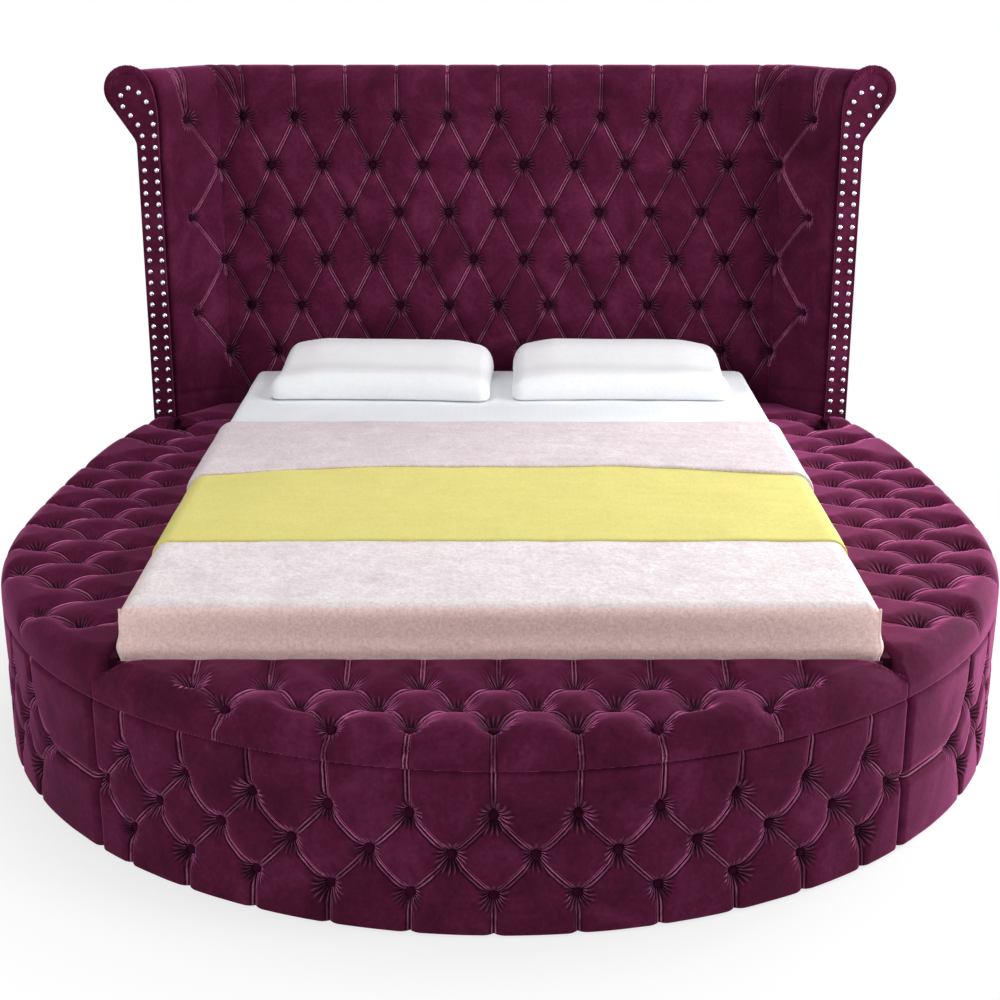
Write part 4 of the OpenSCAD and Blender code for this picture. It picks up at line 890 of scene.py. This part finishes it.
def nail_places():
    """Nails up one side of the right wing's front, round its scroll and down the other side."""
    inner_x, outer_x = WING_FRONT_X + 10.5, WING_SIDE_X - 16.5
    up = ((1, 448), (0, 800), (-2, 1200), (-1, 1300), (3, 1345), (18, 1383), (42, 1411),
          (66, 1418), (88, 1405), (92, 1380), (82, 1358), (62, 1337), (44, 1312))
    down = ((-2, 1280), (-2, 1200), (0, 800), (1, 448))
    corners = np.array([(inner_x + x, z) for x, z in up] + [(outer_x + x, z) for x, z in down])
    gone = np.concatenate([[0], np.cumsum(np.linalg.norm(np.diff(corners, axis=0), axis=1))])
    pitch = 33.5
    places = np.linspace(0, gone[-1], round(gone[-1] / pitch) + 1)
    return [(np.array([np.interp(d, gone, corners[:, 0]), WING_Y + 2.0,
                       np.interp(d, gone, corners[:, 1])]), np.array([0, -1.0, 0]))
            for d in places]


nail_spots = nail_places()
right_nails, left_nails = (
    repeated(name, spots, NICKEL, radius=8.0, height=6.5, segments=14, rings=8)
    for name, spots in (("right_nails", nail_spots), ("left_nails", flipped(nail_spots))))


# ---------------------------------------------------------------- cloth over an outline
class Outline:
    """A closed outline in plan, with the rounding that cloth takes over each part of its edge."""

    def __init__(self, corners, soft, rounding):
        """corners go anticlockwise. soft gives how far each is cut back, and rounding(x, y) gives
        the radius over the edge, the straight drop, the radius under it and the lowest height."""
        corners = np.array(corners, dtype=float)
        loop = []
        for i, (corner, cut) in enumerate(zip(corners, soft)):
            if cut <= 0:
                loop.append(corner)
                continue
            sides = [corners[k % len(corners)] - corner for k in (i - 1, i + 1)]
            start, end = (corner + unit(side) * min(cut, np.linalg.norm(side) * 0.99)
                          for side in sides)
            loop.extend(bezier(start, corner, end, 15))
        loop = np.array(loop)
        points = []
        for p, step in zip(loop, np.roll(loop, -1, 0) - loop):
            pieces = max(1, int(round(np.linalg.norm(step) / 1.5)))
            points.extend(p + step * k / pieces for k in range(pieces))
        self.points = np.array(points)
        tangent = np.roll(self.points, -3, 0) - np.roll(self.points, 3, 0)
        self.inward = unit(np.stack([-tangent[:, 1], tangent[:, 0]], 1))
        self.rounding = np.array([rounding(*p) for p in self.points])
        self.tree = kdtree.KDTree(len(self.points))
        for i, p in enumerate(self.points):
            self.tree.insert((p[0], p[1], 0), i)
        self.tree.balance()

    def nearest(self, x, y):
        """For each point, its distance inside the edge and the number of the nearest edge point."""
        flat = np.stack([np.ravel(x), np.ravel(y)], 1)
        index = np.array([self.tree.find((px, py, 0))[1] for px, py in flat])
        gap = flat - self.points[index]
        inside = (gap * self.inward[index]).sum(1)
        inside = np.where(inside < 0, -1, 1) * np.linalg.norm(gap, axis=1)
        return inside.reshape(np.shape(x)), index.reshape(np.shape(x))

    def wrap(self, x, y, top, inside=None, index=None):
        """Where a flat sheet lies once it is laid over the edge: its points, their directions and a
        mask of the points that are past its hem."""
        if inside is None:
            inside, index = self.nearest(x, y)
        edge, inward = self.points[index], self.inward[index]
        radius, drop, under, low = [self.rounding[index][..., k] for k in range(4)]
        a = np.maximum(0, radius - inside)
        total = radius * math.pi / 2 + drop + under * math.pi / 2
        past = a > total + 1e-6
        a = np.minimum(a, total)
        turn = np.minimum(a / radius, math.pi / 2)
        straight = np.clip(a - radius * math.pi / 2, 0, drop)
        tuck = np.maximum(0, a - radius * math.pi / 2 - drop) / under
        off = radius * (1 - np.sin(turn)) + under * (1 - np.cos(tuck))
        fall = radius * (1 - np.cos(turn)) + straight + under * np.sin(tuck)
        share = fall / (radius + drop + under)
        over = a > 0
        level = np.where(tuck > 0, np.cos(tuck), np.sin(turn))
        upright = np.where(tuck > 0, -np.sin(tuck), np.cos(turn))
        points = np.stack([
            np.where(over, edge[..., 0] + inward[..., 0] * off, x),
            np.where(over, edge[..., 1] + inward[..., 1] * off, y),
            np.where(over, low + (top - low) * (1 - share), top)], -1)
        normal = np.stack([
            np.where(over, -inward[..., 0] * level, 0), np.where(over, -inward[..., 1] * level, 0),
            np.where(over, upright, 1)], -1)
        return points, normal, past


def trimmed(points, past, depth=None):
    """The numbers of the grid points that are not past the hem, and their triangles."""
    number = np.arange(past.size).reshape(past.shape)
    tris = grid_triangles(number, None if depth is None else depth.ravel())
    tris = tris[~past.ravel()[tris].all(1)]
    corners = points.reshape(-1, 3)[tris]
    double = np.cross(corners[:, 1] - corners[:, 0], corners[:, 2] - corners[:, 0])
    # what collapsed to less than 0.01 square mm at the hem is left out
    tris = tris[np.linalg.norm(double, axis=1) > 0.02]
    used, place = np.unique(tris, return_inverse=True)
    return used, place.reshape(tris.shape)


def hem_edges(tris):
    """The edges that only one triangle has, in that triangle's direction."""
    edges = np.concatenate([tris[:, [0, 1]], tris[:, [1, 2]], tris[:, [2, 0]]])
    key = np.sort(edges, 1)
    order = np.lexsort((key[:, 1], key[:, 0]))
    key, edges = key[order], edges[order]
    same = (key[1:] == key[:-1]).all(1)
    single = ~(np.concatenate([[False], same]) | np.concatenate([same, [False]]))
    return edges[single]


def shelled(name, points, normal, past, thickness, mat):
    """A sheet of cloth with its thickness, closed at its hem."""
    used, tris = trimmed(points, past)
    top = points.reshape(-1, 3)[used]
    low = top - normal.reshape(-1, 3)[used] * thickness
    count = len(top)
    a, b = hem_edges(tris).T
    faces = np.concatenate([
        tris, tris[:, ::-1] + count, np.stack([b, a, a + count], 1),
        np.stack([b, a + count, b + count], 1)])
    return object_of(name, np.concatenate([top, low]), faces, mat)


def stuffed(name, points, past, index, outline, depth, lay):
    """A lid's cushion, whose hem turns up beside the board that it sits on, to a flat base."""
    used, tris = trimmed(points, past, depth)
    top = points.reshape(-1, 3)[used]
    count = len(top)
    rim = hem_edges(tris)
    nearest = index.reshape(-1)[used]
    ring = outline.points[nearest] + outline.inward[nearest] * LID_TUCK
    low = np.concatenate([ring, top[:, 2:]], 1)
    high = np.concatenate([ring, np.maximum(BOARD_TOP + 0.2, top[:, 2:])], 1)
    a, b = rim.T
    centre = high[np.unique(rim)].mean(0)
    faces = [tris]
    for k in (0, count):
        faces.append(np.stack([b + k, a + k, a + k + count], 1))
        faces.append(np.stack([b + k, a + k + count, b + k + count], 1))
    faces.append(np.stack([b + 2 * count, a + 2 * count, np.full(len(a), 3 * count)], 1))
    every = np.concatenate([top, low, high, centre[None]])
    pairs = np.concatenate([lay.reshape(-1, 4)[used], np.full((2 * count + 1, 4), 1.0)])
    keep, place = np.unique(np.concatenate(faces), return_inverse=True)
    made = object_of(name, every[keep], place.reshape(-1, 3), VELVET, pairs[keep])
    return made


# ---------------------------------------------------------------- lids
def lid_spots(outline, present, place):
    """The places and directions of the buttons that are pulled into a lid's cushion."""
    crown, sink = SEAM_Z + 86, 34
    spots = []
    for u, v in sorted(present):
        seat, normal, _ = outline.wrap(*(np.array([k]) for k in (*place(u, v), crown)))
        spots.append((seat[0] - normal[0] * sink, normal[0]))
    return spots


HINGE_EDGE = (9.0, 0.1, 1.0, AXIS_Z + 4.3)
HINGE_END_X = float(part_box("foot_hinge_lid_leaf")[1][0]) / MM + 2
HINGE_END_Y = float(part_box("right_hinge_lid_leaf")[0][1]) / MM


def lid_edge(radius):
    """The rounding of a lid's outer edge, down to the seam."""
    return radius, LID_EDGE - radius, LID_TUCK, SEAM_Z + 0.2


def foot_lid():
    """The tufted cushion of the foot lid, and its buttons."""
    crown = SEAM_Z + 89

    def rounding(x, y):
        if y > FOOT_AXIS_Y - 2.5:
            if abs(x) < HINGE_END_X:
                return HINGE_EDGE
            return lid_edge(10 + 38 * float(smooth(abs(x), HINGE_END_X, 800)))
        return lid_edge(50.0)
    tip = FOOT_AXIS_Y + 0.3
    arc = [(BENCH_R * math.sin(a), WIDE_Y - BENCH_R * math.cos(a))
           for a in np.linspace(-1, 1, 121) * math.acos((WIDE_Y - tip) / BENCH_R)]
    rear = FOOT_AXIS_Y + 1.5
    back = [(806.0, tip), (800.0, rear), (-800.0, rear), (-806.0, tip)]
    outline = Outline(arc + back, [8] + [0] * 119 + [8] + [3] * 4, rounding)
    row_y = [FOOT_Y - 104 - 87 * r for r in range(3)]
    shift, pitch = [-3, -6, -12], [75.3, 75.8, 78.0]
    present = {(u, -r) for r, most in ((0, 8), (1, 7), (2, 4)) for u in range(-most, most + 1)
               if (u + r) % 2 == 0}
    tufts = Tufting(reach=62, depth=27, puff=2.1, rise=0.42, folds=1.8, well=(10, 20), seed=31)

    def place(u, v):
        return shift[-v] + u * pitch[-v], row_y[-v]
    tufts.lattice(present, place)
    for u, v in sorted(present):
        x, y = place(u, v)
        if v == 0:
            tufts.crease((x, y), (x, FOOT_AXIS_Y + 60), 0.8, 0.12, 40)
        if not ({(u - 1, v - 1), (u + 1, v - 1)} & present):
            far = (BENCH_R + 70) / math.hypot(x, y - WIDE_Y)
            tufts.crease((x, y), (x * far, WIDE_Y + (y - WIDE_Y) * far), 0.9, 0.4, 40)
    x, y = grid(np.arange(-250, 251) * HALF_W / 20, row_y[0] + np.arange(-88, 24) * 4.4)
    depth, lay = tufts.pull(x, y)
    inside, index = outline.nearest(x, y)
    top = crown - 7 * smooth(-y, -FOOT_AXIS_Y + 60, -FOOT_AXIS_Y + 300) \
        - 20 * smooth(np.abs(x), 735, 840) + 1.2 * noise(x, y, 160, 14)
    points, normal, past = outline.wrap(x, y, top, inside, index)
    # short gathers hang from the rim, and the pleats fade towards the hinge and the hem
    angle = np.arctan2(x, WIDE_Y - y)
    gather = 0.8 * np.sin(angle * BENCH_R / 6.5 + 2 * noise(x, y, 90, 3)) \
        * smooth(-inside, 25, 45) * (0.5 + 0.5 * noise(x, y, 70, 4))
    side = 1 - 0.55 * smooth(-inside, 10, 60)
    hinge = smooth(FOOT_AXIS_Y - y, 0, 34)
    pulled = np.maximum(0, depth * side + gather) * (0.15 + 0.85 * hinge) * np.where(past, 0, 1)
    pulled = pulled * (1 - smooth(-inside, 20, 36))
    points = points - normal * pulled[..., None]
    made = stuffed("foot_lid_velvet", points, past, index, outline, pulled, lay)
    return made, lid_spots(outline, present, place)


def side_outline():
    """The right side lid in plan: along the outside, round the wing and back along its hinge."""
    wing_n, front_y, tail_y = -3.0, FOOT_AXIS_Y + 1.3, HEAD_Y - 46
    hinge_x = AXIS_X - 2.5

    def rounding(x, y):
        if x < AXIS_X + 0.5 and y < tail_y - 4:
            if y > HINGE_END_Y - 2:
                return HINGE_EDGE
            return lid_edge(10 + 34 * (1 - float(smooth(y, front_y + 15, HINGE_END_Y - 2))))
        if y > END_Y - 2:
            return 26.0, 4.0, 22.0, SEAM_Z + 38
        return lid_edge(50 - 18 * float(smooth(y, 100, 700)))
    run = []
    for y in np.linspace(front_y, END_Y - 1, 160):
        centre, radius = (0, BENCH_R) if y < WIDE_Y else (BENCH_R - SIDE_R, SIDE_R)
        run.append((centre + math.sqrt((radius - 1.0) ** 2 - (WIDE_Y - y) ** 2), y))
    tail = [wing_point(wing_s(wing_n, END_Y - 1), wing_n),
            wing_point((HEAD_Y - tail_y) / math.sin(WING_A), wing_n), (hinge_x, tail_y)]
    soft = [3, 6] + [0] * (len(run) - 2) + [60, 14, 24, 20]
    return Outline([(hinge_x, front_y)] + run + tail, soft, rounding), front_y


def side_lid():
    """The tufted cushion of the right side lid, and its buttons."""
    outline, front_y = side_outline()
    crown = SEAM_Z + 88
    first_x, pitch_x, first_y, pitch_y = 895.0, 111.0, FOOT_Y + 197, 83.5

    def place(u, v):
        return first_x + (u + 1) * pitch_x, first_y + (v + 1) * pitch_y

    def near(u, v):
        inside, index = outline.nearest(*(np.array([k]) for k in place(u, v)))
        return inside[0], index[0]
    present = {(u, v) for u, v in lattice_of(range(-2, 24), (-1, 0, 1))
               if near(u, v)[0] > 33 and place(u, v)[1] > front_y + 60}
    tufts = Tufting(reach=68, depth=27, puff=2.2, rise=0.42, folds=1.8, well=(10, 20), seed=41)
    tufts.lattice(present, place)
    for u, v in sorted(present):
        x, y = place(u, v)
        if u == -1:
            tufts.crease((x, y), (AXIS_X - 60, y), 0.8, 0.1, 44)
        if u == 1 or not ({(u + 1, v - 1), (u + 1, v + 1)} & present):
            index = near(u, v)[1]
            edge = outline.points[index]
            if edge[1] < END_Y - 4:
                tufts.crease((x, y), tuple(edge - outline.inward[index] * 62), 0.8, 0.14, 36)
    ys = first_y + np.arange(-84, 620) * pitch_y / 24
    x, y = grid(first_x + np.arange(-26, 96) * pitch_x / 24, ys[ys < HEAD_Y + 40])
    depth, lay = tufts.pull(x, y)
    inside, index = outline.nearest(x, y)
    top = crown + 1.2 * noise(x, y, 170, 24) \
        + 5 * smooth(x, 950, 1150) * smooth(y, 100, 700) \
        - 20 * (1 - smooth(y, front_y, HINGE_END_Y))
    points, normal, past = outline.wrap(x, y, top, inside, index)
    # the pleats fade towards the outer side, the tail, the hinge, the front and the hem
    side = 1 - 0.75 * smooth(-inside, -30, 25)
    tail = (outline.points[index][..., 1] > END_Y - 2) & (inside < 30)
    side = np.where(tail, side * smooth(inside, -20, 30), side)
    hinge = smooth(x, AXIS_X, AXIS_X + 34)
    front = smooth(y, front_y + 2, front_y + 50)
    pulled = np.maximum(0, depth * side) * (0.15 + 0.85 * hinge) * (0.3 + 0.7 * front)
    pulled = pulled * np.where(past, 0, 1) * (1 - smooth(-inside, 20, 36))
    points = points - normal * pulled[..., None]
    made = stuffed("right_lid_velvet", points, past, index, outline, pulled, lay)
    return made, lid_spots(outline, present, place)


foot_cushion, foot_lid_spots = foot_lid()
right_cushion, right_lid_spots = side_lid()
left_cushion = mirror_copy(right_cushion, "left_lid_velvet")


# ---------------------------------------------------------------- bedding
def cloth(name, mat, half, y0, y1, top, drop, thickness, ends, wrinkle, seed, step=9.0,
          radius=38.0, turn=24.0, reach=0.0):
    """Cloth over the mattress from y0 to y1, hanging by drop at its sides and where ends says so,
    at the foot and at the head. wrinkle is the height of its waves, radius its turn over the sides,
    turn the one over the ends, and reach how far the corners of its foot hem are drawn forward."""
    corner = 26.0

    def rounding(x, y):
        over = radius + (turn - radius) * min(1.0, (half - abs(x)) / corner)
        return over, drop - over - 1, 1.0, top - drop
    # an end that does not hang is a cut hem, well inside the outline that the cloth is laid over
    foot, head = (0 if hangs else 400 for hangs in ends)
    x0, y_low, y_high = -half, y0 - foot, y1 + head
    outline = Outline([(x0, y_low), (half, y_low), (half, y_high), (x0, y_high)],
                      [0 if gap else corner for gap in (foot, foot, head, head)], rounding)
    over = drop + 30
    x, y = grid(np.arange(-half - over, half + over + step, step),
                spaced(y0 - ends[0] * over, y1 + ends[1] * over, step))
    height = top + 1.3 * noise(x, y, 260, 51) + wrinkle * noise(0.2 * x, y, 55, seed)
    points, normal, past = outline.wrap(x, y, height)
    # a long skirt bulges where it rests on the bed rails
    rail = np.exp(-((points[..., 2] - RAIL_TOP) / 20) ** 2)
    lift = 0.8 * noise(x, y, 150, 52) + 8.0 * rail * (1 - normal[..., 2]) * (drop > 200)
    for hangs, gap in zip(ends, (y - y0, y1 - y)):
        if not hangs:
            lift = lift - 0.4 * thickness * np.maximum(0, 1 - gap / thickness) ** 2
    points = points + normal * (lift * np.where(past, 0, 1))[..., None]
    drawn = smooth(np.abs(points[..., 0]), 0.35 * half, 1.05 * half)
    points[..., 1] -= reach * drawn * np.clip((y1 - points[..., 1]) / (y1 - y0), 0, 1)
    return shelled(name, points, normal, past, thickness, mat)


sheet = cloth(
    "fitted_sheet_cotton", COTTON, half=764.6, y0=MATTRESS_Y0 - 1, y1=MATTRESS_Y1 + 1.5,
    top=MATTRESS_TOP + 2.6, drop=228, thickness=1.8, ends=(True, True), wrinkle=0.2, seed=51,
    step=11.0, radius=22.0, turn=5.5)
blanket = cloth(
    "pink_blanket", PINK, half=BLANKET_HALF, y0=MATTRESS_Y0 - BLANKET_OUT, y1=FOLD_Y,
    top=MATTRESS_TOP + 8.2, drop=236, thickness=5.0, ends=(True, False), wrinkle=0.4, seed=61)
band = cloth(
    "pink_turned_band", PINK_BACK, half=784.0, y0=HEM_Y, y1=FOLD_Y + 4,
    top=MATTRESS_TOP + 21.5, drop=112, thickness=7.5, ends=(False, False), wrinkle=1.1, seed=71,
    step=7.0, radius=52.0, reach=75.0)
throw = cloth(
    "yellow_throw_cloth", YELLOW, half=775.8, y0=THROW_Y, y1=HEM_Y + 6,
    top=MATTRESS_TOP + 13.8, drop=74, thickness=5.0, ends=(False, False), wrinkle=0.5, seed=81,
    radius=44.0)


def piping(name, side):
    """The cord in the blanket's seam down one corner of the foot, bulging with the skirt."""
    line = []
    for z in np.linspace(536, 330, 60):
        sunk = 7.0 - 4.5 * math.exp(-((z - RAIL_TOP) / 20) ** 2)
        line.append((side * (BLANKET_HALF - sunk), MATTRESS_Y0 - BLANKET_OUT + sunk, z))
    return tube(name, line, 3.0, PINK)


blanket_piping = [piping("blanket_piping_left", -1), piping("blanket_piping_right", 1)]


def pillow(name, x0, x1, turn):
    """A moulded foam pillow in its knitted cover: a low front ridge, a dip and a high back. It lies
    turned by turn about its middle."""
    y0, y1 = MATTRESS_Y1 - 392, MATTRESS_Y1 - 2
    base = MATTRESS_TOP + 3.4
    mid_x, mid_y = (x0 + x1) / 2, (y0 + y1) / 2
    corners = [(x0 - 4, y0 - 6), (mid_x, y0 + 16), (x1 + 4, y0 - 6), (x1 - 3, mid_y),
               (x1, y1), (x0, y1), (x0 + 3, mid_y)]
    outline = Outline(corners, [44, 230, 44, 60, 70, 70, 60],
                      lambda x, y: (38.0, 4.0, 16.0, base + 0.5))
    x, y = grid(np.arange(x0 - 100, x1 + 101, 4.5), np.arange(y0 - 100, y1 + 101, 4.5))
    places = np.array([0, 0.10, 0.20, 0.32, 0.42, 0.55, 0.72, 0.85, 1.0])
    heights = np.array([66, 77, 80, 76, 76, 88, 108, 113, 106])
    back = np.linspace(0, 1, 200)
    profile = np.pad(np.interp(back, places, heights), 9, mode="edge")
    profile = np.convolve(profile, np.ones(19) / 19, mode="valid")
    top = np.interp(np.clip((y - y0) / (y1 - y0), 0, 1), back, profile)
    a = np.clip((x - x0) / (x1 - x0), 0, 1)
    top = top * (0.82 + 0.18 * smooth(np.minimum(a, 1 - a), -0.02, 0.22)) \
        - 3 * smooth(a, 0.35, 1.0) + 1.6 * noise(x, y, 230, 91) + base
    points, normal, past = outline.wrap(x, y, top)
    used, tris = trimmed(points, past)
    rim = hem_edges(tris)
    middle = np.array([[mid_x, mid_y, base + 0.5]])
    around = np.concatenate([points.reshape(-1, 3)[used], middle]) - middle
    c, k = math.cos(turn), math.sin(turn)
    turned = np.stack([around[:, 0] * c - around[:, 1] * k, around[:, 0] * k + around[:, 1] * c,
                       around[:, 2]], 1) + middle
    under = np.stack([rim[:, 1], rim[:, 0], np.full(len(rim), len(used))], 1)
    made = object_of(name, turned, np.concatenate([tris, under]), PILLOW_KNIT)
    return made


right_pillow = pillow("right_pillow_cover", 38.0, 676.0, -0.008)
left_pillow = pillow("left_pillow_cover", -668.0, -24.0, -0.045)

# ---------------------------------------------------------------- bodies, slots, replaced nodes
pieces = [
    (foot_wall, "frame", "velvet", "foot_wall_pad"),
    (right_wall, "frame", "velvet", "right_wall_pad"),
    (left_wall, "frame", "velvet", "left_wall_pad"),
    (head_pad, "frame", "velvet", "headboard_pad"),
    (right_wing, "frame", "velvet", "right_wing_pad"),
    (left_wing, "frame", "velvet", "left_wing_pad"),
    *((part, "frame", "velvet", "right_wing_front") for part in right_scroll),
    *((part, "frame", "velvet", "left_wing_front") for part in left_scroll),
    (right_nails, "frame", "silver_nails", "right_nailheads"),
    (left_nails, "frame", "silver_nails", "left_nailheads"),
    (foot_cushion, "foot_lid", "velvet", "foot_lid_cushion"),
    (right_cushion, "right_lid", "velvet", "right_lid_cushion"),
    (left_cushion, "left_lid", "velvet", "left_lid_cushion"),
    (sheet, "frame", "white_cotton", "fitted_sheet"),
    *((part, "frame", "pink_fleece", "blanket") for part in (blanket, *blanket_piping, band)),
    (throw, "frame", "yellow_fleece", "throw"),
    (right_pillow, "frame", "white_cotton", "right_pillow"),
    (left_pillow, "frame", "white_cotton", "left_pillow"),
]
head_all = head_spots + wing_spots + flipped(wing_spots)
for place, body, spots in (
        ("foot_wall", "frame", foot_wall_spots), ("right_wall", "frame", right_wall_spots),
        ("left_wall", "frame", flipped(right_wall_spots)), ("headboard", "frame", head_all),
        ("foot_lid", "foot_lid", foot_lid_spots), ("right_lid", "right_lid", right_lid_spots),
        ("left_lid", "left_lid", flipped(right_lid_spots))):
    made = buttons(place + "_covered_buttons", spots)
    pieces.append((made, body, "velvet", place + "_buttons"))
for piece, body, slot, node in pieces:
    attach(piece, body)
    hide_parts(node)

finishes = {
    "timber": TIMBER, "plywood": PLYWOOD, "steel": ZINC, "glide_plastic": NYLON,
    "back_fabric": BACK_CLOTH, "mattress_ticking": TICKING, "velvet": VELVET_PLAIN,
    "white_cotton": COTTON, "pink_fleece": PINK, "yellow_fleece": YELLOW, "silver_nails": NICKEL,
}
# the rails, posts and panels that show from outside are wrapped in the back's cloth
wrapped = ("left_rail", "right_rail", "foot_rail", "corner_posts", "left_wing_panel",
           "right_wing_panel", "headboard_panel")
for part in frame["record"]["subparts"]:
    held = frame["nodes"][part["node"]]
    held.data.materials.clear()
    held.data.materials.append(
        BACK_CLOTH if part["node"] in wrapped else finishes[part["material_slot"]])

# ---------------------------------------------------------------- floor, lights and camera
scene = bpy.context.scene


def seen_directly(tree):
    """1 where the camera looks at a surface, also in a reflection or through something clear."""
    path = add(tree, LIGHT_PATH)
    seen = path.outputs["Is Camera Ray"]
    for ray in ("Is Glossy Ray", "Is Transmission Ray"):
        seen = add(tree, MATH, (seen, path.outputs[ray]), operation="MAXIMUM")
    return seen


def pale_floor():
    """A pale matt floor. Near the bed it shows itself, so that it keeps the shadow, and farther off
    it is plain white."""
    mesh = bpy.data.meshes.new("floor")
    mesh.from_pydata([(-60, -40, 0), (60, -40, 0), (60, 160, 0), (-60, 160, 0)], [], [(0, 1, 2, 3)])
    pale = bpy.data.materials.new("pale_floor")
    pale.use_nodes = True
    tree = pale.node_tree
    shader = tree.nodes["Principled BSDF"]
    shader.inputs["Base Color"].default_value = srgb("#F4F4F4")
    shader.inputs["Roughness"].default_value = 0.9
    place = add(tree, PLACES).outputs["Object"]
    away = add(tree, "ShaderNodeVectorMath", (place,), operation="LENGTH").outputs["Value"]
    white = add(tree, "ShaderNodeEmission", {"Color": srgb("#FFFFFF"), "Strength": 1.0})
    share = add(tree, MATH, (
        seen_directly(tree), add(tree, FADE, (away, 1.1, 1.8, 0.7, 1.0), **SMOOTH)), **TIMES)
    both = add(tree, "ShaderNodeMixShader", (share, shader, white))
    tree.links.new(both.outputs[0], tree.nodes["Material Output"].inputs["Surface"])
    mesh.materials.append(pale)
    linked("floor", mesh)


def white_room():
    """A room that looks white and lights the bed softly."""
    scene.world = bpy.data.worlds.new("white_room")
    scene.world.use_nodes = True
    tree = scene.world.node_tree
    tree.nodes.clear()
    soft, white = (add(tree, "ShaderNodeBackground", {
        "Color": srgb("#FFFFFF"), "Strength": strength}) for strength in (0.25, 1.0))
    both = add(tree, "ShaderNodeMixShader", (seen_directly(tree), soft, white))
    add(tree, "ShaderNodeOutputWorld", (both,))


def lamps():
    """Soft square lamps, brightest from above on the right: name, place, aim, size and watts."""
    for name, place, aim, size, power in (
            ("key", (4.4, -1.8, 4.6), (0.0, 0.2, 0.5), 1.6, 130),
            ("back", (4.0, 2.4, 2.2), (0.9, -0.1, 0.4), 1.4, 138),
            ("side", (2.9, 0.2, 1.2), (0.9, -0.1, 0.4), 1.2, 48),
            ("fill", (-3.2, -5.6, 3.0), (0.0, 0.2, 0.6), 3.0, 126),
            ("top", (-0.8, 0.8, 4.8), (-0.2, 0.4, 0.0), 3.0, 62)):
        lamp = bpy.data.lights.new(name, "AREA")
        lamp.size, lamp.energy = size, power
        holder = linked(name, lamp)
        holder.visible_camera = False
        holder.location = place
        way = Vector(aim) - Vector(place)
        holder.rotation_euler = way.to_track_quat("-Z", "Y").to_euler()


pale_floor()
white_room()
lamps()
# the camera stands in front of the foot, at the height and tilt that fit the photograph
CAMERA_PLACE, LOOKS_DOWN, LENS_MM, FILM_MM = (0.0, -4.1027, 1.7843), 17.8, 61.06, 36.0
lens = bpy.data.cameras.new("camera")
lens.sensor_width, lens.lens = FILM_MM, LENS_MM
camera = linked("camera", lens)
camera.location = CAMERA_PLACE
camera.rotation_euler = (math.radians(90 - LOOKS_DOWN), 0.0, 0.0)
scene.camera = camera
scene.view_settings.view_transform = "Standard"
